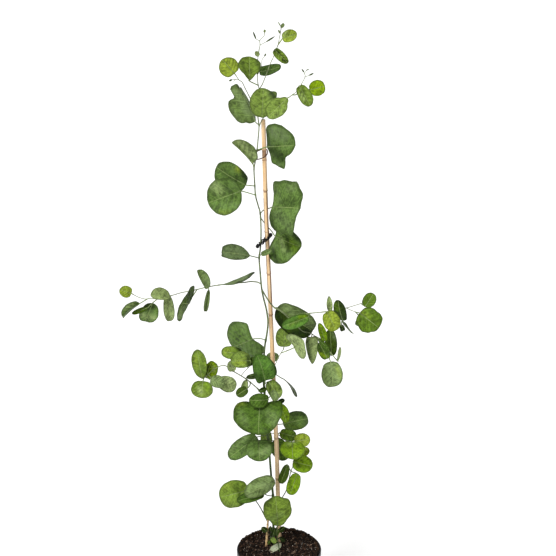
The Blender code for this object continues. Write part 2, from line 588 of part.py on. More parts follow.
def blade_outline(item, length, angle):
    """Width and length at this angle round the margin: 0 at the base, half a turn at the tip."""
    wide = item["wide"] * MM
    share = 0.5 - 0.5 * np.cos(angle)
    belly = item["belly"]
    left, right = belly if isinstance(belly, tuple) else (belly, belly)
    power = np.log(np.where(np.sin(angle) < 0, left, right)) / math.log(0.5)
    width = wide * np.sign(np.sin(angle)) * np.abs(np.sin(angle)) ** item["blunt"]
    nearest = np.minimum(angle, 2 * math.pi - angle)
    shoulder = item["heart"] * np.exp(-(((nearest - 0.7) / 0.4) ** 2))
    dent = item["notch"] * np.exp(-(((nearest - math.pi) / 0.3) ** 2))
    swing = np.ones_like(angle)
    for place, amount, spread in item["lobes"]:
        away = np.abs((np.degrees(angle) - place + 180) % 360 - 180)
        swing = swing + amount * np.exp(-((away / spread) ** 2))
    return width * swing, length * (HUB + (share**power - shoulder - dent - HUB) * swing)


def blade_shell(item):
    """Points and faces of a closed blade: spokes from a hub on the midrib, alike on both faces."""
    surface, length, fold = blade_surface(item)
    spokes = 12
    rings = (0.58, 1.0) if item["wide"] >= LARGE_BLADE else (1.0,)
    for limit in (LARGE_BLADE, SMALL_BLADE, BUD_BLADE):
        if item["wide"] < limit:
            spokes -= 2
    angle = np.arange(spokes) * 2 * math.pi / spokes
    angle[spokes // 2] = math.pi
    width, reach = blade_outline(item, length, angle)
    width[0] = width[spokes // 2] = 0.0
    a = np.concatenate([[0.0]] + [width * ring for ring in rings])
    b = np.concatenate([[HUB * length]] + [HUB * length + (reach - HUB * length) * ring for ring in rings])
    step = 0.2 * MM
    slope_a = surface(a + step, b) - surface(a - step, b)
    slope_b = surface(a, b + step) - surface(a, b - step)
    normal = np.cross(slope_a, slope_b)
    normal /= np.linalg.norm(normal, axis=1)[:, None]
    half = np.where(a == 0, BLADE_THICKNESS / 2 / math.cos(fold), BLADE_THICKNESS / 2)[:, None]
    middle = surface(a, b)
    count = len(a)
    points = np.concatenate([middle + normal * half, middle - normal * half])
    top = []
    for spoke in range(spokes):
        following = (spoke + 1) % spokes
        top.append((0, 1 + spoke, 1 + following))
        for ring in range(1, len(rings)):
            near = 1 + (ring - 1) * spokes
            far = near + spokes
            top.append((near + spoke, far + spoke, far + following))
            top.append((near + spoke, far + following, near + following))
    faces = top + [(first + count, third + count, second + count) for first, second, third in top]
    edge = 1 + (len(rings) - 1) * spokes
    for spoke in range(spokes):
        following = (spoke + 1) % spokes
        faces.append((edge + spoke, edge + count + spoke, edge + count + following))
        faces.append((edge + spoke, edge + count + following, edge + following))
    return points, faces


def on_stems(stems, at):
    """The point of these stems that is nearest in the view to at."""
    best = None
    for each in stems:
        path = each["path"]
        for first, second in zip(path, path[1:]):
            start = np.array(first[:2], float)
            run = np.array(second[:2], float) - start
            share = np.clip(np.dot(np.array(at) - start, run) / max(np.dot(run, run), 1e-9), 0, 1)
            away = np.linalg.norm(start + run * share - at)
            if best is None or away < best[0]:
                place = spot(*first) * (1 - share) + spot(*second) * share
                heading = unit(spot(*second) - spot(*first))
                best = (away, place, heading)
    return best[1], best[2]


def stalk_shell(item, stems):
    """Points and faces of a leaf's stalk, from inside its stem to a fifth of the way up the blade."""
    surface, length, _ = blade_surface(item)
    path = [on_stems(stems, item["at"])[0]]
    path += [spot(*point) for point in item["by"]]
    base = surface(np.array(0.0), np.array(0.0))
    inside = surface(np.array(0.0), np.array(STALK_RUN * length))
    if np.linalg.norm(path[-1] - base) > 1.5 * MM:
        path.append(base)
    path.append(inside)
    slim = min(STALK_RADIUS, 0.13 * item["wide"] * MM + 0.3 * MM)
    return tube_shell(path, np.linspace(slim, slim * 0.8, len(path)), STALK_SIDES)


def stem_points(each):
    return [spot(*point) for point in each["path"]]


def stem_radii(points, start, end):
    """Radii that change evenly with the distance along the stem."""
    steps = np.linalg.norm(np.diff(points, axis=0), axis=1)
    share = np.concatenate([[0.0], np.cumsum(steps)]) / steps.sum()
    return (start + (end - start) * share) * MM


def soil_height(x, y):
    """Height of the soil: a low mound with a few soft lumps."""
    mound = SOIL_MOUND * (1 - (x * x + y * y) / POT_RIM_RADIUS**2)
    lumps = np.sin(230 * x + 1.0) * np.sin(210 * y + 0.4) + 0.6 * np.sin(330 * y - 260 * x)
    return SOIL_EDGE_LEVEL + mound + SOIL_LUMP * lumps


def rooted(path):
    """The path with its first point taken straight down into the soil."""
    x, y, _ = path[0]
    level = soil_height(x, y)
    return [np.array([x, y, level - ROOT_DEPTH]), np.array([x, y, level + 2 * MM])] + path[1:]


def stem_sides(start):
    """Sides of a stem's tube: more on the thick leader, fewest on the finest twigs."""
    if start > THICK_STEM:
        return LEADER_SIDES
    return TWIG_SIDES if start > FINE_STEM else STALK_SIDES


def sprung(path, parent, parent_radius, at):
    """The path with a start that stands clear of the stem it grows from, square to that stem."""
    place, heading = on_stems(parent, at)
    out = path[0] - place
    out = unit(out - heading * np.dot(out, heading))
    start = place + out * (parent_radius + GAP + 0.05 * MM)
    return [start, start + out * 1.5 * MM] + path


def union(name, shells):
    """One closed body from closed shells that overlap each other."""
    group = bpy.data.collections.new(name + "_pieces")
    bpy.context.scene.collection.children.link(group)
    body = add_object(name, *shells[0])
    for number, shell in enumerate(shells[1:]):
        piece = add_object(f"{name}_piece_{number}", *shell)
        bpy.context.scene.collection.objects.unlink(piece)
        group.objects.link(piece)
    if len(shells) > 1:
        joining = body.modifiers.new("joining", "BOOLEAN")
        joining.operation = "UNION"
        joining.solver = "EXACT"
        joining.operand_type = "COLLECTION"
        joining.collection = group
        graph = bpy.context.evaluated_depsgraph_get()
        joined = bpy.data.meshes.new_from_object(body.evaluated_get(graph))
        body.modifiers.clear()
        body.data = joined
        body.data.name = name
    for piece in list(group.objects):
        bpy.data.objects.remove(piece, do_unlink=True)
    bpy.data.collections.remove(group)
    return body


def smooth(item, degrees=35):
    item.data.shade_smooth()
    item.data.set_sharp_from_angle(angle=math.radians(degrees))


def subtract(item, cutters):
    """Cuts closed cutters from the object, and removes them."""
    for cutter in cutters:
        cutting = item.modifiers.new("cutting", "BOOLEAN")
        cutting.operation = "DIFFERENCE"
        cutting.solver = "EXACT"
        cutting.object = cutter
        graph = bpy.context.evaluated_depsgraph_get()
        cut = bpy.data.meshes.new_from_object(item.evaluated_get(graph))
        item.modifiers.clear()
        item.data = cut
        bpy.data.objects.remove(cutter, do_unlink=True)


def wall_radius(height):
    """Outer radius of the pot's tapered wall."""
    top = POT_RIM_RADIUS - POT_RIM_STEP
    return POT_BASE_RADIUS + (top - POT_BASE_RADIUS) * height / POT_HEIGHT


def make_pot():
    """Tapered pot with a band round its rim, a flat underside and a ring of drain holes."""
    band = POT_HEIGHT - POT_RIM_BAND
    profile = [
        (0.0, 0.0),
        (POT_BASE_RADIUS - 1.5 * MM, 0.0),
        (wall_radius(1.5 * MM), 1.5 * MM),
        (wall_radius(band - 2 * MM), band - 2 * MM),
        (POT_RIM_RADIUS - 0.4 * MM, band),
        (POT_RIM_RADIUS, POT_HEIGHT - 1.2 * MM),
        (POT_RIM_RADIUS - 0.6 * MM, POT_HEIGHT),
        (POT_RIM_RADIUS - 2.2 * MM, POT_HEIGHT),
        (wall_radius(POT_HEIGHT) - POT_WALL, band),
        (wall_radius(POT_FLOOR) - POT_WALL, POT_FLOOR),
        (0.0, POT_FLOOR),
    ]
    pot = add_object("pot", *lathe_shell(profile, POT_SIDES))
    cutters = []
    for number in range(DRAIN_HOLES):
        angle = 2 * math.pi * (number + 0.5) / DRAIN_HOLES
        x = DRAIN_RING * math.cos(angle)
        y = DRAIN_RING * math.sin(angle)
        ends = [(x, y, -5 * MM), (x, y, POT_FLOOR + 5 * MM)]
        cutters.append(add_object(f"drain_{number}", *tube_shell(ends, DRAIN_RADIUS, 10)))
    subtract(pot, cutters)
    return pot


def inner_radius(height):
    """Radius of the pot's inner wall, which is straight from its floor to the rim band."""
    band = POT_HEIGHT - POT_RIM_BAND
    low = wall_radius(POT_FLOOR) - POT_WALL
    high = wall_radius(POT_HEIGHT) - POT_WALL
    if height > band:
        return high + (POT_RIM_RADIUS - 2.2 * MM - high) * (height - band) / POT_RIM_BAND
    return low + (high - low) * (height - POT_FLOOR) / (band - POT_FLOOR)


def make_soil(roots, cane_ends):
    """Filling of the pot, with a mounded top and a plain hole for each stem and for the cane."""
    clear = GAP / math.cos(math.pi / POT_SIDES)
    profile = [(0.0, POT_FLOOR + GAP)]
    for height in (POT_FLOOR + GAP, POT_HEIGHT - POT_RIM_BAND, SOIL_EDGE_LEVEL):
        profile.append((inner_radius(height) - 2 * clear, height))
    top_radius = profile[-1][0]
    for ring in range(1, SOIL_RINGS + 1):
        share = 1 - ring / SOIL_RINGS
        profile.append((top_radius * share, SOIL_EDGE_LEVEL))
    points, faces = lathe_shell(profile, POT_SIDES)
    points = np.array(points)
    top = np.arange(len(points)) > 2 * POT_SIDES
    points[top, 2] = soil_height(points[top, 0], points[top, 1])
    soil = add_object("soil", points, faces)
    cutters = []
    for number, (root, radius) in enumerate(roots):
        ends = [root - (0, 0, GAP), root + (0, 0, ROOT_DEPTH + 15 * MM)]
        wide = (radius + 1.3 * GAP) / math.cos(math.pi / 10)
        cutters.append(add_object(f"root_hole_{number}", *tube_shell(ends, wide, 10)))
    wide = (CANE_RADIUS + 1.3 * GAP) / math.cos(math.pi / 12)
    cutters.append(add_object("cane_hole", *tube_shell(cane_ends, wide, 12)))
    subtract(soil, cutters)
    return soil


def cane_points():
    """The cane's own line: its foot is carried on straight to the floor of the pot."""
    line = [spot(*point) for point in CANE_LINE]
    heading = line[0] - line[1]
    foot = line[0] + heading * (line[0][2] - CANE_FOOT) / -heading[2]
    return [foot] + line[1:]


def make_cane():
    """Bamboo cane: a slim tube with a low ring at each joint."""
    line = np.array(cane_points())
    heights = []
    for joint in CANE_JOINTS:
        level = spot(VIEW_MIDDLE, joint)[2]
        heights += [(level - CANE_JOINT_HALF, 0.0), (level, CANE_JOINT_RISE), (level + CANE_JOINT_HALF, 0.0)]
    heights += [(point[2], 0.0) for point in line]
    heights.sort()
    levels = np.array([height for height, _ in heights])
    path = np.stack([np.interp(levels, line[:, 2], line[:, axis]) for axis in range(3)], axis=1)
    taper = np.interp(levels, (levels[0], levels[-1]), (CANE_RADIUS, 0.9 * CANE_RADIUS))
    radii = taper + np.array([rise for _, rise in heights])
    return add_object("cane", *tube_shell(path, radii, CANE_SIDES))


def tie_loop(form):
    """A wire loop round stem and cane: a long round path in a slanting plane."""
    left = spot(*form["left"])
    right = spot(*form["right"])
    middle = (left + right) / 2
    reach = (right - left) / 2
    angles = np.arange(TIE_TURNS) * 2 * math.pi / TIE_TURNS
    along = np.sign(np.cos(angles)) * np.abs(np.cos(angles)) ** 0.8
    depth = np.sign(np.sin(angles)) * np.abs(np.sin(angles)) ** 0.8
    forward = np.array([0.0, -form["half"] * MM, -form["drop"] * MM])
    points = middle + np.outer(along, reach) + np.outer(depth, forward)
    return tube_shell(points, form["wire"] * MM, TIE_SIDES, closed=True)


def make_fallen_leaf(soil):
    """A pale dead leaf that lies on the soil."""
    base, tip = (spot(*FALLEN_LEAF[end], out) for end, out in (("base", 40), ("tip", 12)))
    level = SOIL_EDGE_LEVEL + SOIL_MOUND
    ends = []
    for point in (base, tip):
        ray = point - EYE
        ends.append(np.array(EYE) + ray * (level - EYE[2]) / ray[2])
    base, tip = ends
    length = np.linalg.norm(tip - base)
    along = (tip - base) / length
    side = unit(np.cross(along, (0, 0, 1)))
    spokes = 10
    angle = np.arange(spokes) * 2 * math.pi / spokes
    width = FALLEN_LEAF["wide"] * MM * np.sin(angle)
    reach = length * (0.5 - 0.5 * np.cos(angle))
    flat = base + np.outer(reach, along) + np.outer(width, side)
    flat = np.concatenate([[base + along * length * 0.5], flat])
    rise = 1.2 * MM * (np.abs(np.concatenate([[0.0], width])) / (FALLEN_LEAF["wide"] * MM)) ** 2
    flat[:, 2] += rise
    tree = BVHTree.FromPolygons(
        [vertex.co for vertex in soil.data.vertices],
        [tuple(polygon.vertices) for polygon in soil.data.polygons],
    )
    clearance = []
    for point in flat:
        hit = tree.ray_cast(Vector((point[0], point[1], 0.3)), Vector((0, 0, -1)))[0]
        clearance.append(point[2] - hit.z)
    flat[:, 2] += 2 * GAP - min(clearance)
    points = np.concatenate([flat + (0, 0, BLADE_THICKNESS), flat])
    count = len(flat)
    faces = []
    for spoke in range(spokes):
        first = 1 + spoke
        second = 1 + (spoke + 1) % spokes
        faces.append((0, first, second))
        faces.append((count, count + second, count + first))
        faces.append((first, count + first, count + second))
        faces.append((first, count + second, second))
    return add_object("fallen_leaf", points, faces)


def make_shoot(name, form, parents):
    """One leafy shoot: its stems, stalks and blades joined in one body. Returns it and its root."""
    stems = form["stems"]
    paths = [stem_points(each) for each in stems]
    root = None
    if "leaves_from" in form:
        parent, radius = parents[form.get("parent", "leader_stem")]
        paths[0] = sprung(paths[0], parent, radius(form["leaves_from"]), form["leaves_from"])
    else:
        paths[0] = rooted(paths[0])
        root = (paths[0][0], stems[0]["start"] * MM)
    shells = []
    for path, each in zip(paths, stems):
        radii = stem_radii(np.array(path), each["start"], each["end"])
        shells.append(tube_shell(path, radii, stem_sides(each["start"])))
    for item in form["leaves"]:
        shells.append(stalk_shell(item, stems))
        shells.append(blade_shell(item))
    return union(name, shells), root


def leader_radius(at):
    """Radius of the main stem at this point of the view."""
    each = LEADER["stems"][0]
    place, _ = on_stems([each], at)
    low = spot(*each["path"][0])[2]
    high = spot(*each["path"][-1])[2]
    share = (place[2] - low) / (high - low)
    return (each["start"] + (each["end"] - each["start"]) * share) * MM


def main():
    clear_scene()
    stub = stem(OLD_STUB, OLD_STUB_RADIUS, OLD_STUB_RADIUS * 0.85)
    parents = {
        "leader_stem": ([LEADER["stems"][0]], leader_radius),
        "old_stub": ([stub], lambda at: OLD_STUB_RADIUS * MM),
    }
    made = [make_pot(), make_cane()]
    roots = []
    stub_path = rooted(stem_points(stub))
    roots.append((stub_path[0], OLD_STUB_RADIUS * MM))
    stub_radii = stem_radii(np.array(stub_path), stub["start"], stub["end"])
    made.append(add_object("old_stub", *tube_shell(stub_path, stub_radii, 6)))
    for name, form in SHOOTS.items():
        body, root = make_shoot(name, form, parents)
        made.append(body)
        if root:
            roots.append(root)
    foot, knee = (np.array(point) for point in cane_points()[:2])
    slope = unit(knee - foot)
    soil = make_soil(roots, [foot - slope * 20 * MM, foot + slope * 170 * MM])
    made.append(soil)
    made.append(add_object("upper_tie", *tie_loop(UPPER_TIE)))
    made.append(add_object("lower_tie", *tie_loop(LOWER_TIE)))
    made.append(make_fallen_leaf(soil))
    for item in made:
        paint(item, item.name)
        smooth(item)


main()
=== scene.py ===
import json
import math
from itertools import combinations

import bpy
import numpy as np
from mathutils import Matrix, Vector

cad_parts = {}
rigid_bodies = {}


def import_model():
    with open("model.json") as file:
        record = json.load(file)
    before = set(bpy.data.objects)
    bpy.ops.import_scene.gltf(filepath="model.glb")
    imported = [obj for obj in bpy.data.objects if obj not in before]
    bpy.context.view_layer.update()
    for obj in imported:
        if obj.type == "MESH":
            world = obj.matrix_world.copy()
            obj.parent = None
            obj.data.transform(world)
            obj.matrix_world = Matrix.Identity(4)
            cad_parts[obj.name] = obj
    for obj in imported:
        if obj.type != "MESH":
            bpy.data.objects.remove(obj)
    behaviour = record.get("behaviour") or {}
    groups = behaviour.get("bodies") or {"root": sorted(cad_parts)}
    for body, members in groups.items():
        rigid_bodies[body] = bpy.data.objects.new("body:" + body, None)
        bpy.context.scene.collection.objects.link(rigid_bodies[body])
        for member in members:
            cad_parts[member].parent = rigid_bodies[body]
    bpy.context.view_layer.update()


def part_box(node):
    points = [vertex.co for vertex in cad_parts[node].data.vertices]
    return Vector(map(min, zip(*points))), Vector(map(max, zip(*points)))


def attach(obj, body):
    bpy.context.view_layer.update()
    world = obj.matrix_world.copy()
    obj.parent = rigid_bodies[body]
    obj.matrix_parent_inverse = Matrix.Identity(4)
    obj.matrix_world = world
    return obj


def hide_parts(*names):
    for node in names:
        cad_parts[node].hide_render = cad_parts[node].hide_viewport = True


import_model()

mm = 0.001
scene = bpy.context.scene
chain = np.concatenate


class Value:
    # A shader value, whose arithmetic adds Math nodes to its own tree.
    def __init__(self, graph, socket):
        self.graph, self.socket = graph, socket

    def math(self, operation, other=0.0):
        return self.graph.node("Math", {"operation": operation}, {0: self, 1: other})

    def __add__(self, other):
        return self.math("ADD", other)

    def __sub__(self, other):
        return self.math("SUBTRACT", other)

    def __rsub__(self, other):
        return self.graph.node("Math", {"operation": "SUBTRACT"}, {0: other, 1: self})

    def __mul__(self, other):
        return self.math("MULTIPLY", other)

    def __truediv__(self, other):
        return self.math("DIVIDE", other)

    __radd__ = __add__
    __rmul__ = __mul__

    def step(self, low, high):
        # 0 below low and 1 above high, with a soft change between them.
        return self.graph.node("MapRange", {"interpolation_type": "SMOOTHSTEP"}, {0: self, 1: low, 2: high})

    def parts(self):
        # The three numbers of a vector.
        return [self.graph.node("SeparateXYZ", {}, {0: self}, part) for part in range(3)]


class Finish:
    # One material: a Principled shader, and the nodes that feed it.
    def __init__(self, name, roughness=0.5, **constants):
        self.material = bpy.data.materials.new(name)
        self.material.use_nodes = True
        self.tree = self.material.node_tree
        self.inputs = self.tree.nodes["Principled BSDF"].inputs
        for key, value in {"Roughness": roughness, **constants}.items():
            self.inputs[key.replace("_", " ")].default_value = value

    def node(self, kind, settings, inputs, output=0):
        # Adds a node: first its settings, then its inputs by number or name.
        made = self.tree.nodes.new("ShaderNode" + kind)
        for key, value in settings.items():
            setattr(made, key, value)
        for key, value in inputs.items():
            self.feed(made.inputs[key], value)
        return Value(self, made.outputs[output])

    def feed(self, socket, value):
        if isinstance(value, Value):
            self.tree.links.new(value.socket, socket)
        else:
            socket.default_value = value

    def layered(self, colour, *layers):
        # Each layer's share of its colour is mixed in over the layers before it.
        for share, over in layers:
            settings = {"data_type": "RGBA", "clamp_factor": True}
            colour = self.node("Mix", settings, {0: share, 6: colour, 7: over}, 2)
        return colour

    def shade(self, colour, strength):
        # The colour times a number.
        return self.node("VectorMath", {"operation": "SCALE"}, {0: colour, 3: strength})

    def attribute(self, name):
        return self.node("Attribute", {"attribute_name": name}, {}, 1)

    def place(self, stretch=(1, 1, 1)):
        # Object coordinates, stretched along each axis.
        coordinates = self.node("TexCoord", {}, {}, "Object")
        return self.node("VectorMath", {"operation": "MULTIPLY"}, {0: coordinates, 1: stretch})

    def noise(self, scale, detail=2.0, stretch=(1, 1, 1), rough=0.5):
        inputs = {"Vector": self.place(stretch), "Scale": scale, "Detail": detail, "Roughness": rough}
        return self.node("TexNoise", {}, inputs)

    def use(self, colour, roughness, height, depth):
        # Connects the finished colour, roughness and bump height.
        bump = self.node("Bump", {}, {"Height": height, "Distance": depth, "Strength": 1.0})
        for key, value in {"Base Color": colour, "Roughness": roughness, "Normal": bump}.items():
            self.feed(self.inputs[key], value)
        return self.material


def rgb(red, green, blue):
    # A colour as seen on a screen, from 0 to 255, in the linear values that shaders take.
    shares = np.array([red, green, blue]) / 255
    linear = np.where(shares < 0.04045, shares / 12.92, ((shares + 0.055) / 1.055) ** 2.4)
    return (*linear.tolist(), 1.0)


def lengths(**sizes):
    # A dictionary of lengths, given in millimetres and kept in metres.
    return {name: size * mm for name, size in sizes.items()}


def ripples(points, scale, seed, waves=9):
    # Smooth noise from -1 to 1: the mean of plane waves about scale metres long, in seeded directions.
    random = np.random.default_rng(seed)
    ways = random.normal(size=(waves, 3))
    ways *= (2 * math.pi / scale / np.linalg.norm(ways, axis=1) * random.uniform(0.7, 1.4, waves))[:, None]
    return np.sin(points @ ways.T + random.uniform(0, 2 * math.pi, waves)).mean(axis=-1) * 1.8


def unit(vectors):
    # The same directions with length 1.
    return vectors / np.linalg.norm(vectors, axis=-1, keepdims=True)


def bell(away):
    # exp(-x squared): 1 in the middle, and next to nothing 2 away from it.
    return np.exp(-(away**2))


def columns(*values):
    # Numbers side by side, as the coordinates of points.
    return np.stack(np.broadcast_arrays(*values), axis=-1)


def turns(sides):
    # The angles of so many even steps round a circle.
    return np.arange(sides) * 2 * math.pi / sides


def ringFaces(rings, sides, first=0, closed=False, poles=()):
    # Quads between neighbouring rings of points, and a fan to each pole given as (ring, point, at the end).
    low = np.arange(rings if closed else rings - 1)[:, None] * sides
    high = (low + sides) % (rings * sides)
    side = np.arange(sides)
    following = (side + 1) % sides
    quads = columns(low + side, low + following, high + following, high + side).reshape(-1, 4)
    fans = [np.zeros((0, 3), int)]
    for ring, point, atEnd in poles:
        edge, after = (side, following) if atEnd else (following, side)
        fans.append(columns(ring * sides + edge, ring * sides + after, point - first))
    return quads + first, chain(fans) + first


def shell(points, quads, fans, **marks):
    # A closed form with what its points carry for the shader: one row of numbers for each mark.
    marks = {key: np.broadcast_to(np.asarray(value, float), (len(points), 3)) for key, value in marks.items()}
    return {"points": points, "quads": quads, "fans": fans, "marks": marks}


def joined(shells):
    # Several shells as one: their points one after the other, and their faces moved along to match.
    starts = np.cumsum([0] + [len(each["points"]) for each in shells])
    made = {"points": chain([each["points"] for each in shells])}
    for kind in ("quads", "fans"):
        made[kind] = chain([each[kind] + start for each, start in zip(shells, starts)])
    made["marks"] = {key: chain([each["marks"][key] for each in shells]) for key in shells[0]["marks"]}
    return made


def capped(rings, ends, **marks):
    # Rings of points, closed with a fan to a point at each end. A mark given for each ring is
    # repeated round it, and the ends take the marks of the rings next to them.
    count, sides, _ = rings.shape
    total = count * sides
    for key, value in marks.items():
        rows = np.broadcast_to(np.asarray(value, float), (count, 3)).repeat(sides, axis=0)
        marks[key] = chain([rows, rows[:1], rows[-1:]])
    poles = ((0, total, False), (count - 1, total + 1, True))
    return shell(chain([rings.reshape(-1, 3), ends]), *ringFaces(count, sides, poles=poles), **marks)


def sheet(middle, lift, rings, spokes, **marks):
    # A hub and rings of points, raised to both sides of the middle, with a closed margin. Each mark
    # is a pair, for the two faces.
    quads, fans = ringFaces(rings, spokes, first=1, poles=((0, 0, False),))
    count = len(middle)
    edge = 1 + (rings - 1) * spokes + np.arange(spokes)
    after = np.roll(edge, -1)
    margin = columns(edge, edge + count, after + count, after)
    return shell(
        chain([middle + lift, middle - lift]),
        chain([quads, (quads + count)[:, ::-1], margin]),
        chain([fans, (fans + count)[:, ::-1]]),
        **{key: chain(pair) for key, pair in marks.items()},
    )


def meshObject(name, form):
    # A plain object of a shell, linked to the scene.
    mesh = bpy.data.meshes.new(name)
    mesh.from_pydata(form["points"].tolist(), [], form["quads"].tolist() + form["fans"].tolist())
    made = bpy.data.objects.new(name, mesh)
    scene.collection.objects.link(made)
    return made


def piece(name, form, material, node, sharp=40):
    # The mesh object of a shell. It rides on the body and stands for its CAD node.
    made = meshObject(name, form)
    mesh = made.data
    for key, rows in form["marks"].items():
        mesh.attributes.new(key, "FLOAT_VECTOR", "POINT").data.foreach_set("vector", rows.ravel())
    mesh.validate()
    mesh.shade_smooth()
    mesh.set_sharp_from_angle(angle=math.radians(sharp))
    mesh.materials.append(material)
    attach(made, "root")
    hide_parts(node)
    return made


def smoothPath(points, parts=5):
    # A curve through all the points: on each stretch a cubic whose slope at a point is half the
    # way from the point before it to the point after it.
    points = np.asarray(points, float)
    padded = chain([2 * points[:1] - points[1:2], points, 2 * points[-1:] - points[-2:-1]])
    share = (np.arange(parts) / parts)[None, :, None]
    before, start, end, after = (padded[k : k + len(points) - 1, None] for k in range(4))
    firstSlope = (end - before) / 2
    lastSlope = (after - start) / 2
    cubic = 2 * (start - end) + firstSlope + lastSlope
    square = 3 * (end - start) - 2 * firstSlope - lastSlope
    curve = ((cubic * share + square) * share + firstSlope) * share + start
    return chain([curve.reshape(-1, 3), points[-1:]])


def tube(path, radii, sides, closed=False, **marks):
    # Rings square to the path, in a frame made with the axis that the path follows least. An open
    # tube ends in rounded caps.
    radii = np.broadcast_to(radii, len(path))
    steps = np.roll(path, -1, axis=0) - np.roll(path, 1, axis=0) if closed else np.gradient(path, axis=0)
    ahead = unit(steps)
    across = unit(np.cross(ahead, np.eye(3)[np.abs(ahead).max(axis=0).argmin()]))
    over = np.cross(ahead, across)
    angle = turns(sides)[:, None]
    circle = np.cos(angle) * across[:, None] + np.sin(angle) * over[:, None]
    rings = path[:, None] + radii[:, None, None] * circle
    if closed:
        return shell(rings.reshape(-1, 3), *ringFaces(len(path), sides, closed=True), **marks)
    return capped(rings, path[[0, -1]] + ahead[[0, -1]] * radii[[0, -1], None] * [[-0.5], [0.5]], **marks)


# The camera: the picture's size, middle and focus in pixels, and its tilt down in degrees.
view = {
    "size": 556,
    "middle": 278,
    "focus": 1257,
    "tilt": 17.75,
    "eye": (-0.0018, -1.985, 1.276),
    "canePlane": 0.030,
}
eye = np.array(view["eye"])
tiltSine, tiltCosine = math.sin(math.radians(view["tilt"])), math.cos(math.radians(view["tilt"]))


def spot(across, down, out=0.0):
    # The point that the camera sees at (across, down), out millimetres in front of the cane's plane.
    side, rise = (across - view["middle"]) / view["focus"], (view["middle"] - down) / view["focus"]
    y = view["canePlane"] - out * mm
    reach = (y - eye[1]) / (tiltCosine + rise * tiltSine)
    return np.array([eye[0] + reach * side, y, eye[2] + reach * (rise * tiltCosine - tiltSine)])


def spots(points):
    # A row for each (across, down, out).
    return np.array([spot(*point) for point in points])


def pixelSize(points):
    # How far the points lie ahead of the camera, divided by its focus: the length of one pixel there.
    away = points - eye
    return (away[..., 1] * tiltCosine - away[..., 2] * tiltSine) / view["focus"]


def pixels(points):
    # Where the camera sees the points.
    away = points - eye
    up = away[..., 1] * tiltSine + away[..., 2] * tiltCosine
    return view["middle"] + columns(away[..., 0], -up) / pixelSize(points)[..., None]


print("helpers ready")

# Leaf colours, from the blue-grey old leaves to the yellow-green young ones. The darkest, shade, is painted
# shade: it colours the patches of shade on the leaves, and one small leaf all over.
leafTones = {
    "grey": (115, 136, 80), "fresh": (106, 130, 44), "mature": (89, 116, 52), "dark": (69, 97, 27),
    "deep": (58, 80, 13), "olive": (148, 166, 103), "spring": (120, 144, 61), "slate": (88, 106, 64),
    "pale": (150, 168, 108), "young": (137, 156, 48), "bright": (110, 142, 18), "lime": (123, 151, 5),
    "lush": (84, 112, 24), "emerald": (81, 119, 41), "bluish": (42, 60, 14), "shade": (26, 44, 6),
}
stemTones = {"thick": (64, 82, 44), "thin": (120, 130, 92), "stalk": (126, 138, 96)}
tones = {name: np.array(rgb(*colour)[:3]) for name, colour in {**leafTones, **stemTones}.items()}


def stem(path, start, end):
    # A stem along (across, down, out) points, with its radius in millimetres at both ends.
    return {"path": path, "start": start, "end": end}


def leaf(tone, at, base, tip, seen, wide, turn="trough", **form):
    # A leaf whose stalk leaves its stem at `at`, by way of `by`, and whose blade runs from base to
    # tip. seen is the width that shows left and right of the midrib, or on both sides, wide is the
    # true width of one half in millimetres, and turn is how the halves are turned. patches are
    # strokes of another tone, in the view: its name, both ends, how far it reaches round them and
    # how strong it is. The patches paint shade, in folds and under neighbouring leaves, and
    # highlights, and some are the leaf's own markings. The other settings are those of
    # bladeSurface and bladeOutline.
    shape = {"belly": 0.5, "blunt": 0.9, "arch": 0.05, "wave": 0.03, "heart": 0.04, "notch": 0.0}
    shape.update(tone=tone, at=at, base=base, tip=tip, seen=seen, wide=wide, turn=turn)
    return {**shape, "by": [], "lobes": [], "patches": [], **form}


# Every leafy shoot by its node. One with a "from" starts on the stem that it grows from, and
# the others stand in the soil.
shoots = {}

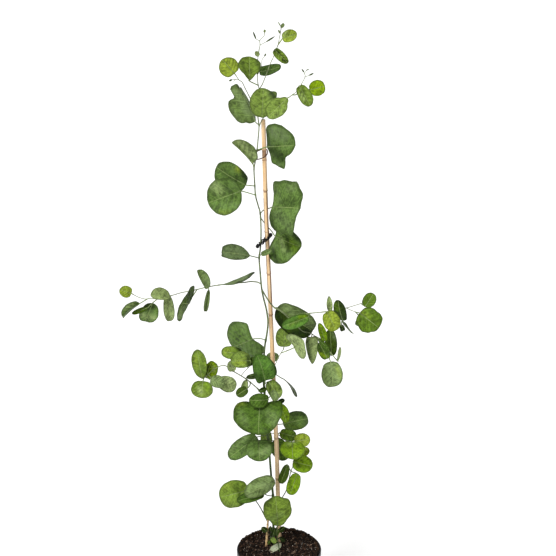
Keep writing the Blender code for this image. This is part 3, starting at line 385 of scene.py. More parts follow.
# Main stem, from the soil to the crown, with the large leaves that grow straight from it.
shoots["leader_stem"] = {"stems": [
    stem([(274, 546, 12), (273.5, 530, 12), (273, 512, 11), (273, 496, 10), (271.5, 480, 9), (270, 461, 8),
        (268.5, 440, 7.5), (266, 412, 7), (264.2, 388, 7), (263.2, 372, 7), (264, 356, 6.5), (265, 345, 6),
        (267, 333, 6.5), (268, 322, 7), (266.5, 310, 6.5), (264, 300, 6), (262, 291, 5), (261, 282, 4),
        (260, 270, 3), (259.2, 258, 3), (260.5, 247, 4), (261, 235, 4), (260.8, 222, 3), (260, 212, 3),
        (258, 205, 3), (255.5, 195, 3), (254.5, 180, 3), (254, 169, 3), (255, 163, 3.5), (257, 150, 4),
        (258, 140, 4), (259, 127, 4), (258, 118, 5), (257.3, 111, 5), (258.5, 100, 6), (260, 88, 8)], 2.2,
        0.85),
], "leaves": [
    leaf("grey", (258.5, 124), (255, 122, 9), (235, 85, 22), (19, 3), 31, "back_right", belly=0.45, blunt=0.8,
        lobes=[(213, -0.28, 13), (150, -0.2, 12), (188, 0.06, 10), (255, 0.06, 12), (325, -0.22, 22)],
        patches=[("lush", 233, 104, 246, 119, 6, 0.5), ("deep", 229, 87, 240, 87, 2.5, 0.7)]),
    leaf("spring", (257.3, 111), (262, 117.5, 14), (263.5, 88, 20), (13, 12.5), 21.5, belly=(0.55, 0.6),
        lobes=[(122, 0.26, 16), (40, -0.08, 18)], patches=[("shade", 271, 92, 276, 99, 3.6, 0.95)]),
    leaf("mature", (257, 150), (267, 147, 10), (295, 145.5, 48), (22.5, 21), 40, belly=(0.6, 0.78), wave=0.06,
        blunt=0.8, lobes=[(143, -0.2, 13), (200, 0.07, 16), (36, 0.12, 14), (106, 0.12, 12), (310, 0.05, 20)],
        patches=[("shade", 272, 150, 281, 159, 7, 0.85), ("slate", 274, 131, 285, 138, 6, 0.6),
        ("shade", 268, 134, 269, 146, 2.4, 0.7)]),
    leaf("pale", (254, 169), (253, 163.5, 10), (232, 142, 18), (0.5, 12), 20, belly=0.45,
        patches=[("dark", 247, 142, 257, 152, 2.5, 0.6), ("slate", 253, 160, 259, 160, 2, 0.6),
        ("dark", 236, 144, 251, 160, 2.2, 0.5)]),
    leaf("mature", (254.3, 186), (246, 185, 0), (216, 167, -14), (15, 12.5), 25, "back_left", wave=0.05,
        patches=[("young", 238, 169, 240, 170, 3, 0.9), ("shade", 242, 171, 246, 178, 4, 0.95),
        ("shade", 226, 175, 238, 182, 4, 0.5)]),
    leaf("mature", (255.5, 196), (241, 191, 10), (208, 203, 28), (18, 19), 32, belly=(0.6, 0.55),
        patches=[("pale", 212, 183, 219, 190, 5.5, 0.55), ("shade", 227, 188, 232, 196, 3, 0.55),
        ("young", 220, 213, 229, 213, 2.5, 0.4)]),
    leaf("mature", (260, 213), (272.5, 207, 2), (303.5, 208.5, 48), (27, 25), 46, belly=(0.6, 0.58),
        blunt=0.75, notch=0.08, wave=0.05, by=[(263, 210.5, -3), (266.5, 209, -6.5), (270, 208, -4)],
        lobes=[(230, 0.16, 13), (203, 0.1, 12), (318, 0.2, 18), (45, -0.05, 22), (166, -0.07, 12),
        (130, 0.3, 14)], patches=[("shade", 280, 202, 297, 203, 2.6, 0.5),
        ("slate", 277, 215, 290, 226, 7, 0.6), ("grey", 289, 189, 297, 185, 4, 0.4),
        ("shade", 271, 215, 274, 230, 2.4, 0.7)]),
    leaf("mature", (260.3, 217), (275.5, 236, -6), (301, 247, 24), (14, 25.5), 43, belly=(0.5, 0.45),
        wave=0.07, by=[(263, 221, -4), (267, 226, -8.5), (271.5, 231, -8.5)],
        patches=[("bright", 291, 243, 296, 250, 5, 0.6), ("shade", 292, 232, 299, 239, 3.4, 0.95),
        ("pale", 281, 238, 284, 250, 2.2, 0.5), ("shade", 287, 238, 289, 251, 2.2, 0.8),
        ("shade", 273, 250, 277, 261, 3, 0.8)]),
    leaf("slate", (259.2, 257), (250, 255.8, 8), (221.5, 252, 24), (6.5, 9.5), 16, belly=0.66,
        lobes=[(150, 0.08, 14), (212, 0.12, 14)]),
    leaf("grey", (259.3, 256), (261.5, 254.5, 12), (272, 249.8, 16), 2.8, 7),
    leaf("mature", (265, 340), (253, 338.7, 5), (232, 347, -30), (20, 25), 41, "back_left", belly=(0.5, 0.42),
        heart=0.14, by=[(260, 338.5, 6)]),
    leaf("emerald", (264.2, 388), (265, 380.5, 15), (257, 354.5, 24), (9.5, 14.5), 24.5, belly=(0.5, 0.35),
        lobes=[(185, 0.05, 16)], patches=[("shade", 273, 361, 277, 374, 2.8, 0.75),
        ("shade", 256, 376, 264, 381, 2.8, 0.7)]),
    leaf("grey", (264, 357), (267, 357.5, -8), (279, 356, -14), (4.5, 5.5), 10, "ridge",
        by=[(265, 357.5, 0)]),
    leaf("dark", (265.3, 403), (268.5, 399.5, 31), (249, 400, 37), (8, 6.5), 14, "back_left"),
    leaf("spring", (264, 385), (268.5, 381.5, 9), (279.5, 398, 13), (8, 7), 13, "back_left",
        patches=[("shade", 268, 381, 271, 393, 1.8, 0.7), ("shade", 277, 382, 280, 388, 1.8, 0.6),
        ("pale", 275, 398, 278, 394, 2.5, 0.5)]),
    leaf("grey", (264.5, 392), (272.5, 390.5, 27), (276.5, 401, 32), 4, 8, by=[(266.5, 398, 16),
        (270, 396.5, 25)]),
    leaf("bluish", (263.5, 375), (281, 377.8, 8), (296, 397, -2), 1.2, 12, "back_right", arch=-0.1,
        by=[(273, 373.5, 8.5)]),
    # This small leaf takes the shade tone all over: painted shade.
    leaf("shade", (265.6, 406), (277, 403.5, 7), (284.5, 399.5, 3), 2.5, 6),
    leaf("dark", (266, 411), (260, 404, 22), (258.5, 435, 64), (23, 26.5), 45, belly=(0.42, 0.46), heart=0.12,
        wave=0.04, lobes=[(58, 0.07, 18), (302, 0.07, 18), (250, -0.03, 14), (130, -0.04, 16),
        (205, 0.03, 12)], patches=[("shade", 262, 409, 265, 421, 3, 0.5),
        ("young", 235, 405, 242, 403, 2.5, 0.5), ("grey", 270, 414, 276, 424, 5, 0.4),
        ("grey", 240, 413, 246, 425, 4, 0.35)]),
    leaf("bright", (265.8, 409), (278.5, 404.5, 9), (287, 423, 14), (6, 4.5), 12, "back_left",
        by=[(272, 406, 8.5)]),
    leaf("mature", (267, 424), (283, 424, -8), (308, 418.5, -18), (10, 9), 18.5, by=[(271, 424.5, 0),
        (275.5, 424.5, -8)], patches=[("shade", 284, 413, 301, 413, 4, 0.75),
        ("shade", 304, 415, 307, 425, 2.2, 0.7), ("lush", 289, 426, 299, 428, 2.5, 0.6)]),
    leaf("mature", (268.2, 436), (257, 437, 8), (229, 458, 18), (8.5, 9.5), 17,
        patches=[("grey", 230, 452, 245, 437, 2.5, 0.6), ("shade", 242, 450, 251, 440, 3, 0.5)]),
    leaf("mature", (268.7, 441), (258.5, 440.5, 18), (260, 461.5, 48), 13.5, 24, heart=0.08,
        patches=[("pale", 262, 453, 268, 447, 3, 0.3), ("deep", 255, 447, 256, 458, 1.6, 0.4)]),
    leaf("fresh", (267.6, 430), (266.2, 431, -8), (266.5, 447, -14), 6, 11, "ridge"),
    leaf("dark", (268.6, 442), (274, 440.5, -8.5), (287, 459.5, -14), 9, 17, "ridge", by=[(271, 441, 0)]),
    leaf("grey", (272, 484), (274.5, 480, 17), (245, 495, 32), (7.5, 10.5), 18.5, "back_left",
        patches=[("deep", 252, 482, 263, 480, 2, 0.5)]),
    leaf("dark", (273, 497), (264, 494, 13), (237, 501, 18), (5, 6), 12, by=[(268, 495.5, 12.5)]),
]}
shoots["crown_left_twig"] = {"from": (257.3, 111), "stems": [
    stem([(250, 98, 8), (245, 88, 10), (242, 82, 11), (239, 80, 12), (235, 74, 14)], 0.85, 0.6),
    stem([(239, 80, 12), (235.5, 79.3, 13), (233.5, 82, 14)], 0.5, 0.4),
], "leaves": [
    leaf("young", (236, 76), (234.5, 73.5, 14), (222, 59.5, 20), 10, 16.5, blunt=0.95),
    leaf("deep", (235.5, 79.3), (232, 79.6, 13), (229, 81, 14), 0.9, 1.6),
]}
shoots["crown_middle_twig"] = {"from": (259.8, 90), "stems": [
    stem([(258, 84, 6), (257.3, 76, 5), (257.5, 68, 5), (258, 57, 6), (259, 50, 6), (260, 45, 6),
        (260, 40, 7), (264, 36, 8), (264.6, 32, 8)], 0.75, 0.45),
    stem([(257.4, 74, 5), (261.5, 66, 6), (262, 60, 7), (265, 55.5, 8)], 0.5, 0.4),
], "leaves": [
    leaf("fresh", (258.2, 86), (249.5, 81, 13), (249.5, 56.5, 22), 11.5, 19, belly=(0.72, 0.68), blunt=0.95,
        wave=0.04, lobes=[(38, -0.2, 24), (322, -0.2, 24), (215, 0.05, 18)],
        patches=[("shade", 257, 60, 260, 69, 2.2, 0.6), ("shade", 242, 63, 247, 76, 2, 0.5)]),
    leaf("dark", (257.4, 75), (259.5, 71.5, -4), (281, 66, -9), 5.2, 13, "back_right", belly=0.38),
    leaf("olive", (259, 50), (258.6, 56, 8), (255.5, 51.3, 10), 2.4, 4),
    leaf("deep", (260, 40.5), (256, 39, 9), (253, 31.5, 11), 0.8, 1.8, blunt=1.3),
    leaf("deep", (260, 45), (266, 42, 9), (275, 36.3, 12), 0.8, 1.8, blunt=1.3),
    leaf("olive", (264.5, 33), (264.4, 32.5, 8), (265, 29.5, 9), 1.2, 2),
    leaf("deep", (264.5, 56.5), (264.6, 56.2, 8), (266, 53.5, 9), 0.8, 1.4),
]}
shoots["crown_right_twig"] = {"from": (260, 89), "stems": [
    stem([(262.5, 84, 11), (264.5, 79, 15), (266.5, 74, 19), (269, 67, 21), (271, 62, 21), (273, 58, 20),
        (276, 50, 19), (278, 45, 18), (279, 40, 17), (280, 35, 17), (281.2, 28, 18)], 0.75, 0.5),
], "leaves": [
    leaf("young", (278, 45), (282.5, 38.5, 17), (297, 33.5, 21), (6.5, 5.8), 10.5,
        patches=[("olive", 284, 35, 286, 32, 2, 0.7), ("fresh", 288, 35, 292, 35, 2.5, 0.6)]),
    leaf("fresh", (276, 50), (274.5, 49.5, 25), (288, 63, 28), (4.3, 5), 9.5, belly=0.44,
        patches=[("shade", 275, 50, 279, 52, 2, 0.8), ("shade", 283, 60, 287, 62, 1.6, 0.8)]),
    leaf("grey", (281.1, 29), (281.4, 27.5, 18), (284, 23.3, 19), 1.8, 3),
    leaf("olive", (280.2, 34), (280, 33.2, 18), (278.3, 29.8, 19), 0.9, 1.8),
    leaf("pale", (281, 29), (280.5, 26, 18), (278, 21.8, 18), 0.5, 1.2),
]}
shoots["crown_side_sprig"] = {"from": (259, 126), "stems": [
    stem([(262, 120, 8), (268, 112, 8.5), (278, 104, 9), (288, 98, 10), (292, 95, 10), (297, 91, 10),
        (302, 83, 10), (305, 77, 10), (304.5, 73, 10)], 0.8, 0.45),
], "leaves": [
    leaf("spring", (289.5, 97), (287.5, 98, 25), (267.5, 117.5, 40), (9, 9.5), 16, belly=0.55,
        lobes=[(38, -0.2, 22), (322, -0.2, 22), (130, 0.08, 16), (235, -0.04, 20)], by=[(289, 97.2, 18)]),
    leaf("fresh", (292, 95), (299, 86, 13), (310.5, 106, 17), (7.2, 6.4), 12, by=[(297, 94, 12)],
        patches=[("deep", 299, 88, 303, 90, 1.5, 0.4), ("olive", 300, 94, 304, 100, 2, 0.5)]),
    leaf("lime", (301, 84.6), (309.5, 90, 5), (325, 86, 2), 8, 13.5),
    leaf("deep", (304.6, 74), (304.2, 72.5, 10), (301.6, 68.8, 11), 0.7, 1.6, blunt=1.3),
    leaf("deep", (305, 77), (309, 75.4, 10), (313.7, 73.2, 11), 0.8, 1.8, blunt=1.3),
    leaf("grey", (304.6, 74), (306, 70.5, 10), (309, 69, 10), 0.5, 1.2),
]}
shoots["left_branch"] = {"from": (261, 284), "stems": [
    stem([(257, 282, 6.5), (251, 281.5, 8), (244, 282.5, 10), (237, 283, 12), (228, 284, 15), (219, 285, 18),
        (210, 286.5, 22), (203, 288, 25), (197, 289.5, 28), (190, 291, 30), (182, 292.5, 33),
        (175, 294.5, 36), (165, 297.5, 38), (159, 299, 39), (150, 298.5, 40), (145, 299, 41), (138, 297, 42),
        (132, 293.7, 44)], 1.1, 0.55),
], "leaves": [
    leaf("slate", (219, 285), (221, 284.8, 22), (254.5, 273, 36), (2.8, 2.3), 13, "back_left", belly=0.7,
        arch=-0.06, patches=[("shade", 238, 283, 247, 281, 2, 0.7), ("shade", 250, 277, 254, 273, 2.4, 0.9)]),
    leaf("grey", (209, 287), (207, 288.5, 27), (197.5, 270, 34), (2.3, 7), 12, belly=0.56, blunt=0.8),
    leaf("grey", (208, 287.5), (208.8, 289.6, 21), (205.4, 311.4, 13), 2.6, 9.5),
    leaf("deep", (197, 289.5), (189.5, 303, 44), (181, 303, 76), (17.7, 17.8), 32, "back_left",
        by=[(194.5, 293.5, 34), (191, 299, 41)], patches=[("shade", 186, 288, 192, 298, 4, 0.7),
        ("grey", 182, 308, 178, 320, 3, 0.7)]),
    leaf("olive", (172, 296), (170, 297, 44), (150.5, 295, 52), (4, 8.5), 15.5, belly=0.6),
    leaf("pale", (170.5, 296.5), (167.5, 296, 32), (170, 321, 26), (5.6, 5.4), 12, belly=0.46, blunt=0.85),
    leaf("mature", (157, 299), (152.5, 303, 34), (145, 321.5, 26), (10, 8.5), 17,
        patches=[("pale", 141, 315, 154, 318, 3, 0.6), ("shade", 141, 308, 152, 306, 3.6, 0.9)]),
    leaf("deep", (157, 299), (148, 307.5, 38), (132, 313.7, 42), 2.6, 6, by=[(152, 303.5, 39)]),
    leaf("mature", (147.5, 299), (140, 303.5, 41), (123.5, 318, 35), (-2, 8), 14,
        patches=[("olive", 126, 308, 133, 304, 2, 0.6), ("shade", 128, 314, 139, 305, 2.6, 0.9)]),
    leaf("young", (133, 294), (131.3, 293.4, 44), (119.5, 289.5, 50), 6, 10.5),
]}
shoots["right_branch"] = {"from": (262, 290), "stems": [
    stem([(265, 295, 10), (268, 300, 12), (271, 304, 13), (275, 308, 14), (280, 310.5, 15), (285, 314.5, 16),
        (289.5, 318, 17), (295, 316.6, 18), (302, 314.8, 19), (310, 313.3, 20), (323, 312, 20),
        (335, 310.3, 20), (346, 308, 20), (353, 306, 21), (361, 303.5, 22)], 1.3, 0.55),
    stem([(289.5, 318, 17), (294, 323, 16), (299, 328, 15), (303, 331.5, 15), (310, 333, 15), (315, 336, 16),
        (320, 338.5, 17), (325, 343, 18), (328, 348, 19), (330, 352, 19)], 0.9, 0.55),
    stem([(346, 308, 20), (353, 311, 22), (358, 312.6, 25)], 0.6, 0.5),
    stem([(334, 310.5, 20), (339, 316, 20), (342, 320.5, 21)], 0.6, 0.5),
], "leaves": [
    # Its lower half takes the darker tone: painted shade on the half folded away from the light.
    leaf("grey/deep", (275.5, 308.2), (277, 307.5, 8), (313, 331, -12), (13, 15.5), 27, wave=0.04,
        patches=[("shade", 276, 311, 283, 326, 5, 0.95), ("shade", 295, 333, 307, 331, 4.5, 0.95),
        ("lush", 286, 313, 290, 317, 2, 0.6)]),
    leaf("emerald", (310, 313.3), (308.5, 316.8, 27), (282, 326.5, 34), (6.6, 6), 12.5,
        patches=[("bright", 300, 317, 308, 316, 2.2, 0.9), ("fresh", 290, 325, 298, 321, 2, 0.5)]),
    leaf("olive", (312, 334.2), (311.5, 337, 10), (312.5, 364, 5), (6.4, 6.2), 11, belly=0.2, blunt=1.2,
        patches=[("shade", 307, 341, 310, 358, 2.8, 0.85), ("pale", 314, 341, 316, 345, 2.5, 0.6)]),
    leaf("bright", (322, 340.2), (325, 341, 25), (319, 323, 30), (3.6, 4.2), 8.5),
    leaf("deep", (329.5, 351), (331.5, 355.5, 5), (330, 329, -3), (6, 6.3), 12,
        patches=[("slate", 333, 332, 335, 337, 2.5, 0.8)]),
    leaf("dark", (328, 348.5), (327.5, 358.5, 23), (319, 342.5, 27), (5.5, 5), 10.5, by=[(326, 353.5, 24)],
        patches=[("lime", 319, 353, 327, 357, 1.6, 0.8), ("bluish", 319, 345, 321, 351, 2, 0.6)]),
    leaf("dark", (316, 336.6), (318, 338.5, 35), (329.8, 351.3, 37), 2.2, 5, blunt=1.1),
    leaf("young", (323, 312), (327, 311.8, 38), (336, 330.5, 44), (8.6, 8.4), 15),
    leaf("pale", (331, 311), (330, 311, 12), (329, 296, 8), 3, 6.5, blunt=1.2, belly=0.42),
    leaf("bluish", (341.5, 319.5), (343, 320.5, 28), (338, 300, 32), (5.8, 6), 12, "back_left",
        patches=[("lush", 335, 304, 338, 309, 2.6, 0.9)]),
    leaf("deep", (342, 320.3), (343.5, 321.5, 20), (353.5, 334, 12), 1.2, 12, "back_right"),
    leaf("bluish", (342, 320.3), (341.3, 324.5, 15), (343, 331, 12), 2.6, 5.5),
    leaf("grey", (329.5, 351), (330.5, 361.5, 20), (333, 387, 24), (11, 10.5), 19, by=[(329, 357, 20)],
        patches=[("young", 337, 368, 340, 376, 2.5, 0.5), ("deep", 323, 368, 325, 380, 4, 0.5)]),
    leaf("pale", (330, 352), (337.5, 361, 9), (340, 346.8, 4), 1.7, 6, "back_right", blunt=1.2),
    leaf("lush", (357.5, 312.5), (359.5, 313, 28), (379, 328, 36), (13, 12.5), 21.5, wave=0.06,
        lobes=[(90, 0.06, 14), (140, -0.07, 14), (270, -0.06, 14), (225, 0.05, 14)],
        patches=[("deep", 372, 322, 378, 328, 3, 0.7), ("young", 362, 312, 368, 316, 3, 0.3)]),
    leaf("lush", (361, 303.5), (365, 306.5, 18), (373.5, 293.5, 12), (6.4, 6.8), 11.5),
    leaf("dark", (355, 311.5), (361, 318, 19), (357, 325.8, 15), 3.4, 6),
]}
shoots["middle_twig"] = {"from": (263.2, 371), "stems": [
    stem([(268, 369.8, 9.5), (272.5, 367.5, 10), (275.5, 364, 10), (278, 358.5, 10), (281, 353, 10),
        (283.3, 349.5, 9)], 0.7, 0.5),
], "leaves": [
    leaf("spring", (283.2, 349.8), (284, 346.8, 6), (284, 327, -2), (8.5, 9.3), 16.5),
    leaf("pale", (281, 353), (294.5, 347.5, 16), (303.7, 341, 42), 14.5, 25.5, by=[(287, 350.8, 12)]),
]}
shoots["left_cluster_branch"] = {"from": (265.3, 402), "stems": [
    stem([(262, 394, 10), (258, 389, 12), (250, 382, 16), (246, 379, 18), (243, 377, 19), (238, 374, 21),
        (233, 371, 23), (227, 366.5, 25), (223, 365.5, 26), (219, 366.5, 27), (213, 370, 28),
        (208, 374.5, 28), (204, 378, 28)], 1.15, 0.65),
    stem([(241, 375.8, 20), (245, 371, 23), (250, 366, 26)], 0.6, 0.5),
], "leaves": [
    leaf("fresh", (248, 367.8), (242, 354, 31), (221.3, 351.5, 29), 6.6, 12, by=[(247, 361, 30)],
        patches=[("young", 225, 352, 228, 351, 2.5, 0.7), ("shade", 238, 347, 243, 354, 3, 0.95)]),
    leaf("spring", (250, 366), (250.3, 361, 37), (230.5, 361.5, 43), (7, 10), 17,
        patches=[("young", 237, 363, 244, 362, 3, 0.6), ("shade", 248, 357, 249, 366, 2.6, 0.9)]),
    leaf("dark", (250, 366), (250.8, 365.5, 23), (253, 357, 17), 2.6, 7),
    leaf("pale", (234, 371.6), (232.6, 371.2, 27), (230, 361, 31), (4.4, 4.6), 8),
    leaf("grey", (246, 379), (246.5, 377.5, 13), (256.5, 375.8, 6), 2.8, 7.5),
    leaf("fresh", (204.5, 377.5), (202, 378.5, 32), (197, 349.5, 40), (7.6, 7.4), 13.5, belly=0.62,
        blunt=0.95, patches=[("dark", 200, 362, 204, 372, 2.6, 0.6), ("young", 195, 358, 197, 364, 3, 0.4)]),
    leaf("lime", (206.5, 376), (206.5, 378, 11), (212.5, 361, 4), (4, 10), 17, arch=-0.1,
        patches=[("shade", 208, 366, 206, 374, 2.6, 0.9), ("olive", 213, 367, 214, 371, 1.6, 0.6)]),
    leaf("fresh", (204, 378), (203, 381, 31), (201, 398, 42), 11, 19,
        patches=[("bright", 193, 385, 195, 386, 2.5, 0.7), ("bright", 206, 384, 208, 388, 2.5, 0.7),
        ("olive", 199, 388, 201, 392, 2.5, 0.6)]),
    leaf("grey", (206, 376.6), (210.5, 380, 33), (224.5, 384, 37), (6.8, 6), 11.5),
    leaf("pale", (208, 374.5), (218.5, 380.5, 20), (236, 387.5, 15), 8, 14, by=[(212, 378, 23)],
        patches=[("dark", 219, 381, 225, 386, 2, 0.5)]),
    leaf("olive", (246.4, 379.3), (246, 380, 13), (243, 391.5, 15), (3.6, 3.2), 8.5),
    leaf("deep", (250.5, 382.3), (247.3, 388.5, 33), (236.5, 395.5, 37), 5, 9, by=[(250, 385, 25)]),
    leaf("dark", (258, 389), (259, 391.5, 17), (266.5, 388.5, 13), 2.6, 6),
]}
shoots["right_middle_sprig"] = {"from": (268, 433), "stems": [
    stem([(271, 433, -3), (276, 434, -8), (280, 436, -4), (283.5, 439, 5), (289, 441, 14), (293, 441.3, 18)],
        0.75, 0.55),
], "leaves": [
    leaf("lush", (277.5, 434.6), (280, 432.5, -13), (296, 437, -18), (6, 6.5), 11.5),
    leaf("young", (292.5, 441.3), (294.2, 441.2, 18), (310.3, 439.5, 24), (7.2, 7), 12.5),
    leaf("bright", (291, 441.2), (292, 442.2, 24), (292.5, 459.5, 50), (13, 12), 22, heart=0.1,
        patches=[("lime", 293, 447, 300, 450, 3, 0.4), ("olive", 288, 444, 296, 441, 2.5, 0.4)]),
]}
shoots["right_low_shoot"] = {"from": (273.2, 517), "stems": [
    stem([(277, 508, 14), (282, 498, 15), (286, 491, 15), (288.5, 482, 15), (290.5, 473, 15), (293, 466, 14),
        (296, 459, 12)], 1.1, 0.7),
], "leaves": [
    leaf("bright", (294.5, 462.5), (293, 461.5, 20), (312.5, 466.5, 27), 8.7, 15.5,
        patches=[("deep", 294, 458, 298, 466, 2.5, 0.8)]),
    leaf("deep", (291.3, 471), (287.3, 464.5, 11), (280.5, 483.5, 9), (4.8, 4.2), 9),
    leaf("bright", (291, 472), (297, 473.5, 20), (290, 494.8, 27), (6.6, 6.4), 12,
        patches=[("deep", 290, 478, 291, 488, 2, 0.5), ("deep", 298, 476, 299, 484, 1.8, 0.4)]),
    leaf("young", (296, 459), (299, 455, 5), (309, 449, 0), 4.5, 9),
]}
shoots["low_left_shoot"] = {"parent": "old_stub", "from": (267.9, 521), "stems": [
    stem([(264, 514.5, 15), (260, 507, 12), (256, 501, 8), (252, 495, 4), (249.5, 490.5, 1)], 1.2, 0.8),
], "leaves": [
    leaf("fresh", (249.5, 490.5), (248.5, 489.8, 0), (219.5, 497.5, 6), (14.6, 13.4), 24.5,
        lobes=[(230, 0.04, 20)], patches=[("deep", 236, 486, 240, 498, 3.5, 0.55),
        ("young", 224, 488, 230, 484, 3, 0.4)]),
]}
shoots["front_shoot"] = {"stems": [
    stem([(279.3, 549.5, 34), (277.8, 541, 34), (276.7, 533, 33)], 0.9, 0.75),
], "leaves": [
    leaf("fresh", (276.7, 533), (277.5, 526, 34), (275.3, 496, 42), (13.4, 15.8), 27, belly=(0.6, 0.55),
        lobes=[(132, 0.1, 16), (228, 0.13, 16), (46, -0.17, 22), (318, -0.27, 26)],
        patches=[("deep", 265, 505, 270, 498, 2.8, 0.6), ("grey", 272, 519, 282, 514, 3, 0.4)]),
]}
shoots["basal_tuft"] = {"stems": [
    stem([(270.3, 543.5, 8), (270.3, 538, 10), (270.6, 532.5, 12)], 0.9, 0.6),
], "leaves": [
    leaf("bluish", (270.4, 535), (267, 531.5, 24), (261.5, 527.5, 25), 2.8, 5.5, by=[(269.7, 534.2, 17)]),
    leaf("bluish", (270.6, 533), (270.8, 531.5, 19), (270.3, 526, 21), 1.9, 4),
    leaf("bluish", (270.4, 534.5), (272.6, 536.5, 26), (274.8, 528.5, 27), 2.3, 5),
    leaf("deep", (270.4, 536), (275, 535, 23), (279.5, 529.5, 24), 2.4, 5, by=[(271.6, 538, 19)]),
    leaf("bluish", (270.5, 533.5), (279, 531.5, 15), (284.8, 527, 13), 2.6, 5.5, by=[(274, 532.5, 20.5)]),
    leaf("spring", (270.3, 538.5), (271.4, 538.2, 25), (276.2, 543, 32), 2.6, 5.5),
    leaf("bluish", (270.3, 540), (279.5, 537.5, 16), (284.8, 541, 14), 2.2, 5, by=[(274.5, 541.5, 18.5)]),
    leaf("deep", (270.3, 539.5), (269.3, 540.5, 16), (268.3, 544.5, 19), 1.6, 3.5),
]}

blade = {
    **lengths(thick=0.55, relief=0.9, reliefLength=17, slopeStep=0.15),  # relief: swells between the veins
    "rimShare": 0.35,  # thickness at the margin, as a share of that at the midrib
    "hub": 0.45,  # where the spokes meet, as a share of the length
    "ringCrowding": 0.9,  # below 1, the rings are closer together at the margin
    "flattest": 0.995,  # most of the width that one half can show
    "softFold": 0.10,  # width of the rounded fold, as a share of the blade's half
    "mostFold": 72,
    "nibble": 0.012,  # unevenness of the margin
    "spokes": 48,
    "rings": 10,
    "strokeSteps": 12,
    "reliefShare": 0.024,  # the most relief, as a share of the blade's half
    "smallest": 5.0,  # leaves narrower than this have fewer spokes
}
stalk = {
    **lengths(radius=0.9, least=0.2, end=0.16, sunk=0.22, nearest=1.5),
    "sides": 8,
    "steps": 12,
    "run": 0.86,  # how far the midrib runs, as a share of the blade's length
    "share": 0.13,  # radius added to the least, as a share of the blade's half
    "sinking": 0.05,
}
stems = {
    **lengths(swellingLength=2.2, rootDepth=12, darkBelow=450, darkOver=250),  # darker below that height
    "sides": 12,
    "swelling": 0.28,
}


def blend(first, second, share):
    # The first where the share is 0, the second where it is 1.
    return first * (1 - share) + second * share


def darkShare(path):
    # How far down into the dark part of the plant the points of a path lie, from 0 to 1.
    return np.clip((stems["darkBelow"] - path[:, 2]) / stems["darkOver"], 0, 1)[:, None]


def turnedHalves(item, size):
    # How far each half turns about the midrib: the cosine of its angle gives the width that is seen.
    shares = np.broadcast_to(item["seen"], 2) * size / (item["wide"] * mm)
    signs = {"trough": (1, -1), "ridge": (-1, 1), "back_right": (1, 1), "back_left": (-1, -1)}[item["turn"]]
    left, right = np.arccos(np.clip(shares, -1.0, blade["flattest"])) * signs
    most = math.radians(blade["mostFold"])
    return (left + right) / 2, float(np.clip((left - right) / 2, -most, most))


def bladeSurface(item, seed):
    # The middle of a blade: a point a to the side and b along the midrib lies on one of two halves
    # that rise from a rounded fold. An arch along the midrib, a ripple that grows towards the
    # margin and low swells are added along the blade's own normal.
    base, tip = spots([item["base"], item["tip"]])
    length = np.linalg.norm(tip - base)
    along = (tip - base) / length
    toEye = eye - base
    facing = unit(toEye - along * (along @ toEye))
    side = np.cross(along, facing)
    roll, fold = turnedHalves(item, pixelSize((base + tip) / 2))
    across = side * math.cos(roll) - facing * math.sin(roll)
    normal = facing * math.cos(roll) + side * math.sin(roll)
    wide = item["wide"] * mm
    soft = blade["softFold"] * wide
    swell = min(blade["relief"], blade["reliefShare"] * wide)

    def surface(a, b):
        share = b / length
        reach = np.hypot(a / wide, 2 * share - 1)
        angle = np.arctan2(a / wide, 1 - 2 * share)
        ripple = np.sin(3 * angle) + 0.6 * np.sin(5 * angle + 1)
        height = item["arch"] * length * 4 * share * (1 - share)
        height = height + item["wave"] * wide * np.clip(reach, 0, 1) ** 3 * ripple
        relief = ripples(columns(a, b, 0), blade["reliefLength"], seed)
        height = height + swell * relief * np.clip(reach * 1.5, 0, 1)
        up = (np.sqrt(a * a + soft * soft) - soft) * math.sin(fold) + height
        return base + b[..., None] * along + (a * math.cos(fold))[..., None] * across + up[..., None] * normal

    return surface, length, normal


def bladeOutline(item, length, angle, seed):
    # Width and length round the margin: a rounded oval whose fullest place is moved by its belly,
    # with ears at the stalk, a notch at the tip, a slightly uneven margin and lobes: each a place
    # round the margin in degrees, how far it swells or sinks, and how wide it is.
    turn = np.sin(angle)
    left, right = np.broadcast_to(item["belly"], 2)
    power = np.log(np.where(turn < 0, left, right)) / math.log(0.5)
    width = item["wide"] * mm * np.sign(turn) * np.abs(turn) ** item["blunt"]
    nearest = np.minimum(angle, 2 * math.pi - angle)
    ears = item["heart"] * bell((nearest - 0.7) / 0.4)
    dent = item["notch"] * bell((nearest - math.pi) / 0.3)
    shares = (0.5 - 0.5 * np.cos(angle)) ** power - ears - dent
    phases = np.random.default_rng(seed).uniform(0, 2 * math.pi, 3)
    uneven = sum(np.sin(times * angle + phase) for times, phase in zip((5, 9, 14), phases)) / 2
    swing = 1 + blade["nibble"] * uneven * np.clip(3 - 3 * np.abs(np.cos(angle)) ** 6, 0, 1)
    for where, amount, spread in item["lobes"]:
        swing = swing + amount * bell(((np.degrees(angle) - where + 180) % 360 - 180) / spread)
    hub = blade["hub"]
    return width * swing, length * (hub + (shares - hub) * swing)


def bladeTones(item, a, middle):
    # Each half of a blade has its own tone, blended over the midrib; a darker tone on one half is
    # painted shade on the half that turns away from the light. A patch fades with the distance seen
    # by the camera from its stroke, as a bell curve: patches paint shade and highlights, and some
    # are the leaf's own markings.
    left, right = (tones[name] for name in (item["tone"].split("/") * 2)[:2])
    tone = blend(left, right, np.clip(0.5 + a / (0.12 * item["wide"] * mm), 0, 1)[:, None])
    seen = pixels(middle)
    for name, *ends, reach, strength in item["patches"]:
        stroke = np.linspace(ends[:2], ends[2:], blade["strokeSteps"])
        away = np.linalg.norm(seen[:, None] - stroke, axis=-1).min(axis=1)
        tone = blend(tone, tones[name], strength * bell(away / reach)[:, None])
    return tone


